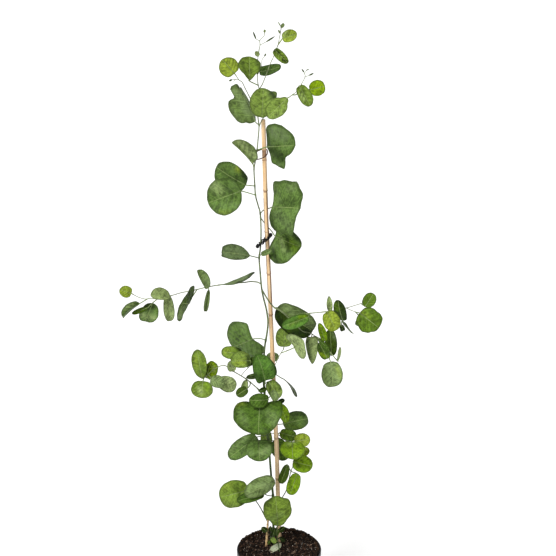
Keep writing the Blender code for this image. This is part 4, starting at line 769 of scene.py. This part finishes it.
def bladeShell(item, seed):
    # Spokes from a hub on the midrib, the same on both faces, with a thin closed margin. Its marks:
    # a and b in millimetres with the blade's length, then how near the margin, which face and 1.
    surface, length, _ = bladeSurface(item, seed)
    share = 2 if item["wide"] < blade["smallest"] else 1
    spokes, rings = blade["spokes"] // share, blade["rings"] // share
    width, reach = bladeOutline(item, length, turns(spokes), seed)
    width[[0, spokes // 2]] = 0.0
    ring = (np.arange(1, rings + 1) / rings) ** blade["ringCrowding"]
    hub = blade["hub"] * length
    a = np.append(0.0, np.outer(ring, width))
    b = np.append(hub, hub + np.outer(ring, reach - hub))
    rim = np.append(0.0, ring.repeat(spokes))
    step = blade["slopeStep"]
    slopeA = surface(a + step, b) - surface(a - step, b)
    slopeB = surface(a, b + step) - surface(a, b - step)
    half = 0.5 * blade["thick"] * (1 - (1 - blade["rimShare"]) * rim**6)
    middle = surface(a, b)
    tone = bladeTones(item, a, middle)
    place = columns(a, b, length) / mm
    faces = columns(rim, 1, 1), columns(rim, 0, 1)
    lift = unit(np.cross(slopeA, slopeB)) * half[:, None]
    return sheet(middle, lift, rings, spokes, place=(place, place), part=faces, tone=(tone, tone))


def nearestOn(paths, at):
    # The point of these fine paths that the camera sees nearest to at, and where it is.
    gaps = [np.linalg.norm(pixels(path) - at, axis=-1) for path in paths]
    best = int(np.argmin([gap.min() for gap in gaps]))
    place = int(gaps[best].argmin())
    return paths[best][place], best, place


def stalkShell(item, paths, seed):
    # A stalk from inside its stem to the blade, and on under the blade as its midrib, ever thinner.
    surface, length, normal = bladeSurface(item, seed)
    run = np.linspace(0, stalk["run"], stalk["steps"]) * length
    rib = surface(0 * run, run) - normal * np.minimum(stalk["sunk"], run * stalk["sinking"])[:, None]
    way = [nearestOn(paths, item["at"])[0], *(spot(*point) for point in item["by"])]
    if np.linalg.norm(way[-1] - rib[0]) > stalk["nearest"]:
        way.append(rib[0])
    free = smoothPath(way + [rib[1]], 6)[:-1] if len(way) > 1 else np.array(way)
    path = chain([free, rib[1:]])
    radius = min(stalk["radius"], stalk["share"] * item["wide"] * mm + stalk["least"])
    thin = np.linspace(radius, min(radius, stalk["end"]), len(rib) - 1)
    tone = blend(tones["stalk"], tones[item["tone"].split("/")[0]], 0.5) * (1 - 0.6 * darkShare(path))
    radii = np.append(np.full(len(free), radius), thin)
    return tube(path, radii, stalk["sides"], place=(0, 0, 60), part=(0, 1, 0), tone=tone)


def stemShell(each, path, nodes):
    # A stem that thins evenly, with a swelling at each leaf's node.
    run = np.append(0.0, np.cumsum(np.linalg.norm(np.diff(path, axis=0), axis=1)))
    radii = (each["start"] + (each["end"] - each["start"]) * run / run[-1]) * mm
    if nodes:
        away = np.abs(run[:, None] - run[nodes]).min(axis=1)
        radii = radii * (1 + stems["swelling"] * bell(away / stems["swellingLength"]))
    share = np.clip((radii / mm - 0.7)[:, None] / 1.3 + darkShare(path), 0, 1)
    tone = blend(tones["thin"], tones["thick"], share)
    return tube(path, radii, stems["sides"], place=(0, 0, 30), part=(0, 1, 0), tone=tone)


# How strong each layer of a leaf's surface is, then its colour, or how light it is beside the
# leaf's own tone.
leafLook = {
    "net": (0.24, 0.5),
    # painted shade in each hollow between the side veins
    "hollowShade": (0.22, 0.55),
    "sideVeins": (0.44, 2.0),
    "midrib": (0.6, rgb(158, 178, 108)),
    "margin": (0.72, 0.34),
    "underside": (0.14, rgb(128, 142, 104)),
    "specks": (0.3, rgb(84, 70, 52)),
}


def leafFinish(name, bloom, shine):
    # Waxy leaf: its own green, softly mottled, the mottles also painting the light and shade of the
    # leaf's undulations, and a grey bloom in patches, stronger where the tone itself is bluer, then
    # a faint net, painted shade in each hollow between the side veins, the side veins, a pale
    # midrib, a darker margin and a paler underside. Stems take the same nodes without veins, with
    # brown specks.
    finish = Finish(name, 0.5, Specular_IOR_Level=0.16, IOR=1.4, Coat_Weight=shine, Coat_Roughness=0.4)
    tone = finish.attribute("tone")
    a, b, length = finish.attribute("place").parts()
    rim, top, isBlade = finish.attribute("part").parts()
    broad, patch, fine = (finish.noise(scale, 3) for scale in (45, 120, 420))
    blotch = patch.step(0.36, 0.64)
    # Strongly mottled: the random tone also paints the light and shade of the leaf's undulations.
    mottlingAndShade = 0.3 + 0.4 * broad.step(0.32, 0.68) + 0.42 * blotch
    mottlingAndShade = mottlingAndShade + 0.32 * finish.noise(240, 2).step(0.34, 0.66) + 0.24 * fine.step(0.3, 0.7)
    side = a.math("ABSOLUTE")
    midrib = (1 - (side / (1.0 - 0.6 * (b / length))).step(0.5, 1.3)) * isBlade
    vein = ((b - side * 0.75) / (length * 0.19) + finish.noise(90, 1) * 0.35).math("PINGPONG", 0.5)
    inner = (1 - rim.step(0.8, 1.0)) * isBlade
    sideVein = (1 - vein.step(0.01, 0.07)) * inner
    borders = {"Vector": finish.place(), "Scale": 360}
    border = finish.node("TexVoronoi", {"feature": "DISTANCE_TO_EDGE"}, borders)
    net = (1 - border.step(0.02, 0.16)) * isBlade
    _, green, blue = tone.parts()
    waxy = (blue / green).step(0.0, 0.3) * 1.3

    def layer(key, where):
        share, over = leafLook[key]
        return where * share, over if isinstance(over, tuple) else finish.shade(tone, over)

    colour = finish.layered(
        # the mottled green, with its painted light and shade
        finish.shade(tone, mottlingAndShade),
        (broad.step(0.45, 0.75) * waxy * bloom, finish.layered(tone, (0.4, rgb(150, 164, 132)))),
        layer("net", net),
        # painted shade in each hollow between the side veins
        layer("hollowShade", ((1 - vein.step(0.05, 0.3)) - sideVein) * inner),
        layer("sideVeins", sideVein),
        layer("midrib", midrib),
        layer("margin", (rim + 0.12 * blotch).step(0.93, 1.03) * isBlade),
        layer("underside", 1 - top),
        layer("specks", finish.noise(700, 2).step(0.6, 0.75) * (1 - isBlade)),
    )
    pillow = vein.step(0.0, 0.5) * inner
    height = fine * 0.15 + net * -0.1 + pillow * 0.8 + midrib * 0.5 + broad * 2.6 + patch * 1.1
    return finish.use(colour, 0.44 + 0.14 * broad + 0.08 * fine, height, 0.9 * mm)


# Each slot's finish, with its bloom and its shine. Shoots without a slot below are mature leaves.
leafFinishes = {
    "mature_leaf": leafFinish("matureLeaf", 0.35, 0.0),
    "young_leaf": leafFinish("youngLeaf", 0.12, 0.04),
    "new_growth_leaf": leafFinish("newGrowthLeaf", 0.5, 0.0),
}
youngShoots = ("crown_left_twig", "crown_right_twig", "crown_side_sprig", "left_cluster_branch")
shootSlots = dict.fromkeys(youngShoots + ("right_middle_sprig", "low_left_shoot"), "young_leaf")
shootSlots["basal_tuft"] = "new_growth_leaf"
trunkPath = smoothPath(spots(shoots["leader_stem"]["stems"][0]["path"]))
stubPath = smoothPath(spots([(266.3, 546.5, 16), (267.2, 532, 17), (268, 519.5, 18)]))


def buildShoot(number, node, form):
    # One leafy shoot: smooth stems, stalks with their midribs, and blades, as one piece.
    paths = [smoothPath(spots(each["path"])) for each in form["stems"]]
    if "from" in form:
        start, _, _ = nearestOn([stubPath if "parent" in form else trunkPath], form["from"])
        paths[0] = chain([smoothPath([start, paths[0][0], paths[0][5]])[:5], paths[0]])
    else:
        paths[0] = chain([paths[0][:1] - (0, 0, stems["rootDepth"]), paths[0]])
    nodes = [[] for _ in paths]
    for item in form["leaves"]:
        _, path, place = nearestOn(paths, item["at"])
        nodes[path].append(place)
    forms = [stemShell(each, path, marks) for each, path, marks in zip(form["stems"], paths, nodes)]
    for seed, item in enumerate(form["leaves"], 100 * number):
        forms += [stalkShell(item, paths, seed), bladeShell(item, seed)]
    slot = shootSlots.get(node, "mature_leaf")
    piece(node + "_fine", joined(forms), leafFinishes[slot], node)


for shootNumber, (shootNode, shootForm) in enumerate(shoots.items()):
    buildShoot(shootNumber, shootNode, shootForm)
print("shoots built:", len(shoots))

cane = {
    **lengths(radius=4, topRadius=3.6, foot=3.6, jointRise=0.55, jointLength=1.5, boreRadius=1.7),
    **lengths(boreDepth=7, grooveBelow=2.6, grooveLength=0.7, grooveDepth=0.25, stainLength=9),
    "line": [(279.2, 541), (276.7, 450), (272.7, 360), (269.4, 285), (266.3, 220), (263.2, 119.5)],
    "joints": [503, 478, 437, 397, 356, 314, 273, 232, 190, 160],  # down the view
    "sides": 28,
    "rings": 420,
    # Painted shade: a dark band down the cane's right side, darkest in the range below, where the leaves'
    # shadow falls, and there also on its left side.
    "shadeStripSides": (-38, -160),  # degrees round from the right, the second only in the range
    "shadeStripRange": (190, 305),  # where the strip is darkest, down the view
    "stainAt": 153,
    "pale": rgb(240, 211, 167),
    "warm": rgb(220, 178, 126),
    "grain": rgb(170, 116, 78),
    # painted shade down the cane's sides
    "strip": rgb(112, 72, 46),
    "blotch": rgb(178, 132, 98),
    "joint": rgb(128, 84, 52),
    "stain": rgb(122, 84, 60),
    # painted shade inside the hollow top
    "bore": rgb(70, 46, 28),
}


def levelAt(down):
    # The height in the cane's plane that lies so far down the view.
    return spot(view["middle"], down)[2]


def buildCane():
    # A tapering tube on a nearly upright line: each joint is a low ring with a fine groove under
    # it, the wall is very slightly ribbed, and the top is cut square and hollow. Its colour carries
    # painted shade: a dark band down its sides, darkest where the leaves' shadow falls, and dark
    # inside the hollow top.
    line = spots(cane["line"])
    heading = line[0] - line[1]
    line[0] = line[0] + heading * (line[0][2] - cane["foot"]) / -heading[2]
    levels = np.linspace(line[0, 2], line[-1, 2], cane["rings"])
    away = levels[:, None] - [levelAt(joint) for joint in cane["joints"]]
    ridge = bell(away / cane["jointLength"]).max(axis=1)
    groove = bell((away + cane["grooveBelow"]) / cane["grooveLength"]).max(axis=1)
    radii = np.interp(levels, (levels[0], levels[-1]), (cane["radius"], cane["topRadius"]))
    radii = radii + cane["jointRise"] * ridge - cane["grooveDepth"] * groove
    radii = np.append(radii, [cane["boreRadius"]] * 2)
    middle = columns(*(np.interp(levels, line[:, 2], line[:, axis]) for axis in range(3)))
    middle = chain([middle, middle[-1:], middle[-1:] - (0, 0, cane["boreDepth"])])
    angle = turns(cane["sides"])
    ribs = 1 + 0.012 * np.sin(5 * angle + 1) + 0.008 * np.sin(9 * angle)
    circle = columns(np.cos(angle), np.sin(angle), 0) * ribs[:, None]
    stain = bell((levels - levelAt(cane["stainAt"])) / cane["stainLength"])
    # Its third number paints shade into the hollow top: 0.6 at the rim of the hole and 1 at its floor.
    wear = chain([columns(np.maximum(ridge, groove), stain, 0), [[0, 0, 0.6], [0, 0, 1.0]]])
    form = capped(middle[:, None] + radii[:, None, None] * circle, np.stack([line[0], middle[-1]]), wear=wear)
    # Painted shade down the sides: near is the right side, other the left side inside the range, where the
    # leaves' shadow falls.
    down = pixels(middle)[:, 1]
    start, end = cane["shadeStripRange"]
    inner = np.clip((down - start) / 8, 0, 1) * np.clip((end - down) / 8, 0, 1)
    near, other = ((1 + np.cos(angle - math.radians(side))) / 2 for side in cane["shadeStripSides"])
    turned = columns(np.maximum(near, np.outer(inner, other)), 0.5 + 0.5 * inner[:, None], 0)
    form["marks"]["strip"] = chain([turned.reshape(-1, 3), np.zeros((2, 3))])
    finish = Finish("bambooCane", 0.42, Coat_Weight=0.12, Coat_Roughness=0.3)
    joint, stained, inside = finish.attribute("wear").parts()
    strip, deep, _ = finish.attribute("strip").parts()
    grain = finish.noise(1, 4, (1500, 1500, 34))
    streak = finish.noise(1, 2, (420, 420, 9))
    patch = finish.noise(30, 2)
    colour = finish.layered(
        cane["pale"],
        (streak.step(0.35, 0.68), cane["warm"]),
        (grain.step(0.5, 0.8) * 0.4, cane["grain"]),
        # painted shade down the sides
        ((strip + (streak - 0.5) * 0.1).step(0.9, 0.97) * deep * 0.95, cane["strip"]),
        (patch.step(0.55, 0.8) * 0.35, cane["blotch"]),
        ((joint + (patch - 0.5)).step(0.25, 1.0) * 0.75, cane["joint"]),
        ((stained + (patch - 0.5) * 0.6).step(0.3, 0.9) * 0.75, cane["stain"]),
        # painted shade inside the hollow top
        (inside, cane["bore"]),
    )
    material = finish.use(colour, 0.38 + 0.2 * grain, grain * 0.5 + streak * 0.3, 0.15 * mm)
    piece("caneFine", form, material, "cane")


stub = {
    **lengths(radius=2.1, sunk=12, splinter=1.2, knob=3, splinterLength=1.4),
    "sides": 14,
    "slant": 0.7,
    "knobbly": 0.14,
    "wood": rgb(230, 200, 146),
    "grain": rgb(186, 142, 92),
    "bark": rgb(116, 92, 58),
    "cut": rgb(222, 186, 140),
}


def buildOldStub():
    # The dead stump of an older stem: a knobbly tube that ends in a slanting, splintered cut.
    path = smoothPath(chain([stubPath[:1] - (0, 0, stub["sunk"]), stubPath]), 6)
    share = np.linspace(0, 1, len(path))
    radii = stub["radius"] * (1.1 - 0.25 * share)
    form = tube(path, radii, stub["sides"], cut=share[:, None])
    axis = chain([path.repeat(stub["sides"], axis=0), path[[0, -1]]])
    away = form["points"] - axis
    knobs = 1 + stub["knobbly"] * ripples(form["points"] * (1, 1, 0.4), stub["knob"], 4)
    points = axis + away * knobs[:, None]
    last = np.arange(len(points)) >= (len(path) - 1) * stub["sides"]
    splinters = stub["splinter"] * ripples(points, stub["splinterLength"], 8) * 0.5
    form["points"] = points + columns(0, 0, np.where(last, stub["slant"] * away[:, 0] + splinters, 0))
    finish = Finish("oldWood", 0.75)
    grain = finish.noise(1, 4, (1400, 1400, 110))
    patch = finish.noise(160, 3)
    colour = finish.layered(
        stub["wood"],
        (grain.step(0.35, 0.7), stub["grain"]),
        (patch.step(0.5, 0.62) * 0.7, stub["bark"]),
        (finish.attribute("cut").parts()[0].step(0.96, 1.0), stub["cut"]),
    )
    material = finish.use(colour, 0.65 + 0.2 * grain, grain + patch, 0.4 * mm)
    piece("oldStubFine", form, material, "old_stub")


# A tie's ends in the view, then in millimetres how deep it runs, how much lower in front, and the
# radius of each strand and how far it lies from the middle. lay is how often the strands turn.
ties = {
    "upper": {
        **lengths(half=6.1, drop=6.0, radius=0.92, aside=0.0),
        "ends": [(253.8, 156.5, 3.7), (267.5, 152, -0.6)], "strands": 1, "lay": 0,
        "colours": (rgb(66, 40, 30), rgb(104, 70, 52)), "slot": "brown_tie",
    },
    "lower": {
        **lengths(half=6.9, drop=0.0, radius=1.248, aside=1.6),
        "ends": [(257.2, 246.5, 4.2), (270.9, 234.7, -0.8)], "strands": 2, "lay": 8,
        "colours": (rgb(5, 6, 6), rgb(24, 27, 26)), "slot": "black_tie",
    },
}


tieLoop = {"steps": 160, "sides": 8, "squareness": 0.8}


def buildTie(name, form):
    # A loop round stem and cane in a slanting plane: one round wire, or strands laid round each other.
    left, right = spots(form["ends"])
    turn = turns(tieLoop["steps"])
    waves = np.cos(turn), np.sin(turn)
    across, depth = (np.sign(wave) * np.abs(wave) ** tieLoop["squareness"] for wave in waves)
    forward = np.array([0.0, -form["half"], -form["drop"]])
    loop = (left + right) / 2 + np.outer(across, (right - left) / 2) + np.outer(depth, forward)
    flat = unit(np.cross((right - left), forward))
    outward = unit(loop - loop.mean(axis=0))
    shells = []
    for strand in range(form["strands"]):
        phase = (turn * form["lay"] + 2 * math.pi * strand / form["strands"])[:, None]
        offset = form["aside"] * (np.cos(phase) * outward + np.sin(phase) * flat)
        shells.append(tube(loop + offset, form["radius"], tieLoop["sides"], closed=True))
    finish = Finish(name + "Tie", 0.5, Specular_IOR_Level=0.2)
    scuff = finish.noise(600, 3)
    dark, light = form["colours"]
    colour = finish.layered(dark, (scuff.step(0.45, 0.75), light))
    material = finish.use(colour, 0.4 + 0.25 * scuff, scuff, 0.1 * mm)
    piece(name + "TieFine", joined(shells), material, name + "_tie")


pot = {
    **lengths(rim=75, base=54, height=135, wall=1.8, floor=3, band=13, step=2.4),
    **lengths(drainRadius=4, drainRing=37),
    "sides": 160,
    "drains": 5,
    "plastic": rgb(40, 40, 43),
    "scuffs": rgb(74, 74, 78),
    "dust": rgb(104, 98, 92),
}


def wallRadius(height):
    # The outer wall leans evenly from the base to just under the rim band.
    return pot["base"] + (pot["rim"] - pot["step"] - pot["base"]) * height / pot["height"]


def lathe(profile, sides, **marks):
    # A profile of (radius, height) turned about the upright axis, starting and ending on it.
    angle = turns(sides)
    radius, height = profile[1:-1, :1], profile[1:-1, 1:]
    rings = columns(radius * np.cos(angle), radius * np.sin(angle), height)
    return capped(rings, columns(0, 0, profile[[0, -1], 1]), **marks)


def roundedProfile(corners, parts=4):
    # Each corner (radius, height, rounding) of a profile becomes a short curve between its two sides.
    corners = np.array(corners, float)
    places = corners[:, :2]
    made = [places[:1]]
    share = np.linspace(0, 1, parts + 1)[:, None]
    for before, here, after, size in zip(places, places[1:], places[2:], corners[1:, 2]):
        ways = (before - here, after - here)
        start, end = (here + unit(way) * min(size, np.linalg.norm(way) * 0.45) for way in ways)
        made.append((1 - share) ** 2 * start + 2 * share * (1 - share) * here + share**2 * end)
    return chain([*made, places[-1:]])


def buildPot():
    # Thin-walled pot: base, wall that leans out, a band that steps out round the rim, a rolled lip,
    # two fine mould lines and drain holes cut right through. The corners are in millimetres.
    names = ("rim", "base", "height", "wall", "floor", "band")
    rim, base, high, wall, floor, band = (pot[name] / mm for name in names)
    band = high - band

    def outer(height):
        return wallRadius(height * mm) / mm

    corners = [
        (0, 1.2, 0), (base - 9, 1.2, 1), (base - 7, 0, 0.6), (base - 0.5, 0, 1.2), (outer(7), 7, 0.5),
        (outer(7.6) + 0.25, 7.6, 0.3), (outer(8.4), 8.4, 0.3), (outer(band - 2), band - 2, 0.8),
        (rim - 0.4, band - 0.4, 0.7), (rim - 0.25, band + 4, 0.4), (rim, high - 2.2, 0.6),
        (rim + 0.15, high - 1.2, 0.5), (rim - 0.7, high, 0.6), (rim - 2, high, 0.5),
        (rim - 2.5, high - 1.6, 0.6), (outer(high) - wall, band, 1.2),
        (outer(floor) - wall, floor, 1.5), (0, floor, 0),
    ]
    finish = Finish("potPlastic", 0.4, Specular_IOR_Level=0.45)
    dust = finish.noise(38, 5, (1, 1, 0.5), 0.65)
    scuff = finish.noise(1, 3, (260, 260, 30))
    powder = finish.place().parts()[2].step(0.10, 0.136) * dust.step(0.42, 0.62) * 0.3
    colour = finish.layered(
        pot["plastic"],
        (scuff.step(0.5, 0.85) * 0.25, pot["scuffs"]),
        (dust.step(0.5, 0.78) * 0.22 + powder, pot["dust"]),
    )
    bump = finish.noise(900, 2) * 0.4 + scuff * 0.3
    material = finish.use(colour, 0.34 + 0.3 * dust, bump, 0.1 * mm)
    form = lathe(roundedProfile(corners) * mm, pot["sides"])
    made = piece("potFine", form, material, "pot", 30)
    drills = []
    for angle in turns(pot["drains"]) + math.pi / pot["drains"]:
        centre = np.array([pot["drainRing"] * math.cos(angle), pot["drainRing"] * math.sin(angle), 0])
        path = centre + columns(0, 0, np.array([-5, 0, 10]) * mm)
        drills.append(meshObject("drill", tube(path, pot["drainRadius"], 32)))
        cut = made.modifiers.new("drain", "BOOLEAN")
        cut.operation, cut.solver, cut.object = "DIFFERENCE", "EXACT", drills[-1]
    graph = bpy.context.evaluated_depsgraph_get()
    cutMesh = bpy.data.meshes.new_from_object(made.evaluated_get(graph))
    made.modifiers.clear()
    made.data = cutMesh
    cutMesh.materials.clear()
    cutMesh.materials.append(material)
    for drill in drills:
        bpy.data.objects.remove(drill, do_unlink=True)


soil = {
    **lengths(edge=133, mound=-1.5, lump=0.8, rough=1.7, heap=1.6, gap=0.35, aside=1.2, highest=138),
    "sides": 144,
    "rings": 46,
    "fibre": rgb(84, 62, 48),
    "crumbTones": [rgb(24, 17, 13), rgb(34, 24, 17), rgb(50, 36, 25), rgb(14, 10, 7), rgb(70, 51, 36)],
}
chipTones = [rgb(86, 64, 52), rgb(62, 45, 36), rgb(42, 31, 26), rgb(118, 98, 82)]
gritTones = [rgb(222, 214, 202), rgb(182, 168, 152), rgb(142, 124, 108)]
# What lies on the soil: how many, their sizes in millimetres, their colours, a seed, how flat they
# are, how high they sit, and between which shares of the pot's radius they lie.
litter = [
    (4200, (0.8, 2.4), soil["crumbTones"], 31, 0.8, 0.25, (0.0, 1.0)),
    (1000, (1.6, 3.8), soil["crumbTones"], 34, 0.8, 0.8, (0.94, 1.012)),
    (300, (1.8, 4.2), chipTones, 32, 0.28, 0.30, (0.0, 0.96)),
    (380, (0.5, 1.15), gritTones, 33, 0.9, 1.2, (0.0, 0.95)),
]
# How much the corners of a lump are moved, how it is stretched, below which flatness it lies nearly
# level and how much it then leans, and how light it is.
lump = {"jitter": (0.65, 1.25), "stretch": (0.5, 1.0), "level": 0.4, "lean": 0.35, "light": (0.7, 1.25)}


def soilHeight(x, y):
    # A low mound with a few soft lumps and finer roughness, heaped up a little at the wall.
    out = (x * x + y * y) / pot["rim"] ** 2
    lumps = np.sin(230 * x + 1.0) * np.sin(210 * y + 0.4) + 0.6 * np.sin(330 * y - 260 * x)
    flat = columns(x, y, 0)
    rough = 0.6 * ripples(flat, 9 * mm, 21) + 0.4 * ripples(flat, 3.5 * mm, 22)
    heap = soil["heap"] * np.clip(out, 0, 1) ** 3
    return soil["edge"] + soil["mound"] * (1 - out) + heap + soil["lump"] * lumps + soil["rough"] * rough


def innerRadius(height):
    # The inner wall leans evenly from the floor to the band, then out to the lip.
    levels = pot["floor"], pot["height"] - pot["band"], pot["height"]
    low, high = wallRadius(pot["floor"]) - pot["wall"], wallRadius(pot["height"]) - pot["wall"]
    return np.interp(height, levels, (low, high, pot["rim"] - 2.5 * mm))


def scattered(count, sizes, colours, seed, flatness, lift, shares):
    # Small angular lumps on the soil: the twelve corners of an icosahedron each, jittered, stretched,
    # turned at random and set on the surface, all worked out together. Flat ones lie nearly level.
    random = np.random.default_rng(seed)
    golden = (1 + math.sqrt(5)) / 2
    signs = np.array([(a, b) for a in (-1, 1) for b in (-golden, golden)])
    planes = ((signs, 0), (signs, 2), (signs[:, ::-1], 1))
    corners = unit(chain([np.insert(pair, axis, 0, axis=1) for pair, axis in planes]))
    near = np.linalg.norm(corners[:, None] - corners, axis=-1) < 1.2
    triples = combinations(range(12), 3)
    triples = [each for each in triples if all(near[pair] for pair in combinations(each, 2))]
    faces = [(i, j, k) if np.linalg.det(corners[[i, j, k]]) > 0 else (i, k, j) for i, j, k in triples]
    lumps = corners * random.uniform(*lump["jitter"], (count, 12, 1))
    stretch = random.uniform(*lump["stretch"], (count, 1, 3)) * (1.0, 0.75, flatness)
    size = random.uniform(*sizes, (count, 1, 1)) * mm
    axes, _ = np.linalg.qr(random.normal(size=(count, 3, 3)))
    axes *= np.sign(np.linalg.det(axes))[:, None, None]
    if flatness < lump["level"]:
        up = unit(random.normal(0, lump["lean"], (count, 3)) + (0, 0, 1))
        first = unit(np.cross(up, random.normal(size=(count, 3))))
        axes = np.stack([first, np.cross(up, first), up], axis=-1)
    angle = random.uniform(0, 2 * math.pi, count)
    low, high = shares
    reach = np.sqrt(random.uniform(low**2, high**2, count)) * (innerRadius(soil["edge"]) - soil["aside"])
    x, y = reach * np.cos(angle), reach * np.sin(angle)
    where = columns(x, y, soilHeight(x, y) + lift * size[:, 0, 0])
    points = (lumps * stretch * size) @ np.swapaxes(axes, 1, 2) + where[:, None]
    tone = np.array(colours)[random.integers(0, len(colours), count), :3]
    tone = (tone * random.uniform(*lump["light"], (count, 1))).repeat(12, axis=0)
    fans = (np.array(faces) + 12 * np.arange(count)[:, None, None]).reshape(-1, 3)
    return shell(points.reshape(-1, 3), np.zeros((0, 4), int), fans, earth=tone)


def buildSoil():
    # The filling of the pot: straight sides, a flat underside and a rough top, then loose crumbs,
    # bark chips and white grit that lie on it.
    low = pot["floor"] + soil["gap"]
    levels = (low, pot["height"] - pot["band"], soil["edge"])
    sides = [(innerRadius(level) - 2.2 * soil["gap"], level) for level in levels]
    share = 1 - np.arange(soil["rings"] + 1) / soil["rings"]
    profile = chain([[(0.0, low)], sides[:2], columns(sides[2][0] * share, soil["edge"])])
    earth = lathe(profile, soil["sides"], earth=soil["crumbTones"][0][:3])
    points = earth["points"]
    top = points[:, 2] > soil["edge"] - 1e-6
    points[top, 2] = soilHeight(points[top, 0], points[top, 1])
    form = joined([earth, *(scattered(*row) for row in litter)])
    height = form["points"][:, 2]
    form["points"][:, 2] = np.minimum(height, soil["highest"] + 0.3 * (height - soil["highest"]))
    finish = Finish("pottingCompost", 0.95, Specular_IOR_Level=0.12)
    coarse = finish.noise(220, 4)
    fibre = finish.noise(1, 4, (900, 300, 500), 0.7)
    rough = finish.shade(finish.attribute("earth"), 0.4 + 0.8 * coarse)
    colour = finish.layered(rough, (fibre.step(0.6, 0.74) * 0.16, soil["fibre"]))
    material = finish.use(colour, 0.85 + 0.12 * coarse, coarse + fibre * 0.6, 0.8 * mm)
    piece("soilFine", form, material, "soil", 25)


dead = {
    **lengths(rise=1.2, curl=2.2, thick=0.35, half=7.8, lift=0.9, swell=0.25, swellLength=5),
    "ends": [(270.8, 553.4, 40), (280.4, 545, 12)],
    "spokes": 40,
    "rings": 8,
    "dry": rgb(176, 186, 158),
    "patches": rgb(142, 152, 118),
    "veins": rgb(206, 208, 182),
    "midrib": rgb(214, 212, 184),
    "margin": rgb(128, 104, 72),
}


def buildFallenLeaf():
    # A dry leaf on the soil: an oval that curls up along both margins and at its tip.
    ways = spots(dead["ends"]) - eye
    level = soil["edge"] + soil["mound"]
    base, tip = eye + ways * ((level - eye[2]) / ways[:, 2:])
    length = np.linalg.norm(tip - base)
    along = (tip - base) / length
    side = unit(np.cross(along, (0.0, 0.0, 1.0)))
    angle = turns(dead["spokes"])
    ring = np.arange(1, dead["rings"] + 1) / dead["rings"]
    half = dead["half"]
    uneven = 1 + 0.03 * np.sin(7 * angle) + 0.02 * np.sin(4 * angle + 1)
    a = np.append(0.0, np.outer(ring, half * np.sin(angle) * uneven))
    b = np.append(0.0, np.outer(ring, -0.5 * length * np.cos(angle) * uneven))
    flat = base + (b + length / 2)[:, None] * along + a[:, None] * side
    lift = dead["rise"] * (a / half) ** 2 + dead["curl"] * np.clip(2 * b / length, 0, 1) ** 3
    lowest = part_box("fallen_leaf")[0][2] + dead["lift"]
    flat[:, 2] = lowest + lift + dead["swell"] * ripples(flat, dead["swellLength"], 3)
    place = columns(a / mm, b / mm, np.hypot(a / half, 2 * b / length))
    thick = np.array([0, 0, dead["thick"] / 2])
    form = sheet(flat, thick, dead["rings"], dead["spokes"], place=(place, place))
    finish = Finish("deadLeaf", 0.6)
    aside, onward, rim = finish.attribute("place").parts()
    aside = aside.math("ABSOLUTE")
    patch = finish.noise(260, 4)
    vein = ((onward - aside * 0.7) / 2.6).math("PINGPONG", 0.5)
    colour = finish.layered(
        dead["dry"],
        (patch.step(0.35, 0.7), dead["patches"]),
        ((1 - vein.step(0.02, 0.1)) * 0.3, dead["veins"]),
        ((1 - aside.step(0.3, 0.8)) * 0.6, dead["midrib"]),
        (rim.step(0.8, 1.0) * 0.45, dead["margin"]),
    )
    material = finish.use(colour, 0.5 + 0.25 * patch, patch, 0.3 * mm)
    piece("fallenLeafFine", form, material, "fallen_leaf")


buildCane()
buildOldStub()
for tieName, tieForm in ties.items():
    buildTie(tieName, tieForm)
print("cane, stub and ties built")
buildPot()
buildSoil()
buildFallenLeaf()
print("pot and soil built")

studio = {
    "floor": 40,
    "paint": (0.8, 0.8, 0.8, 1),
    "white": (1.0, 1.0, 1.0, 1.0),
    "glow": 0.27,  # keeps the shadows on the floor faint
    "sky": 0.5,
    "suns": (("keyLight", 1.6, (-40, 48), 26), ("fillLight", 0.3, (50, 55), 60)),  # strength, from, softness
}


def buildStudio():
    # Wide pale floor, an even pale sky, and two large soft lights: each comes from so many degrees
    # to the right of the camera and so many above the floor.
    corners = np.array([(-1, -1, 0), (1, -1, 0), (1, 1, 0), (-1, 1, 0)]) * studio["floor"] / 2
    floor = meshObject("studioFloor", shell(corners, np.array([[0, 1, 2, 3]]), np.zeros((0, 3), int)))
    paint = {"Base_Color": studio["paint"], "Emission_Color": studio["white"]}
    finish = Finish("paleFloor", 0.9, Specular_IOR_Level=0.1, Emission_Strength=studio["glow"], **paint)
    floor.data.materials.append(finish.material)
    scene.world = bpy.data.worlds.new("studioSky")
    scene.world.use_nodes = True
    sky = scene.world.node_tree.nodes["Background"].inputs
    sky[0].default_value, sky[1].default_value = studio["white"], studio["sky"]
    for name, strength, (right, above), softness in studio["suns"]:
        light = bpy.data.lights.new(name, "SUN")
        light.energy = strength * math.pi / 2
        light.angle = math.radians(softness)
        lamp = bpy.data.objects.new(name, light)
        lamp.rotation_euler = (math.radians(90 - above), 0, math.radians(right))
        scene.collection.objects.link(lamp)


def buildCamera():
    camera = bpy.data.objects.new("camera", bpy.data.cameras.new("camera"))
    camera.data.lens = view["focus"] / view["size"] * camera.data.sensor_width
    camera.location = view["eye"]
    camera.rotation_euler = (math.radians(90 - view["tilt"]), 0, 0)
    scene.collection.objects.link(camera)
    scene.camera = camera


buildStudio()
buildCamera()
scene.view_settings.view_transform = "Standard"
print("studio ready")
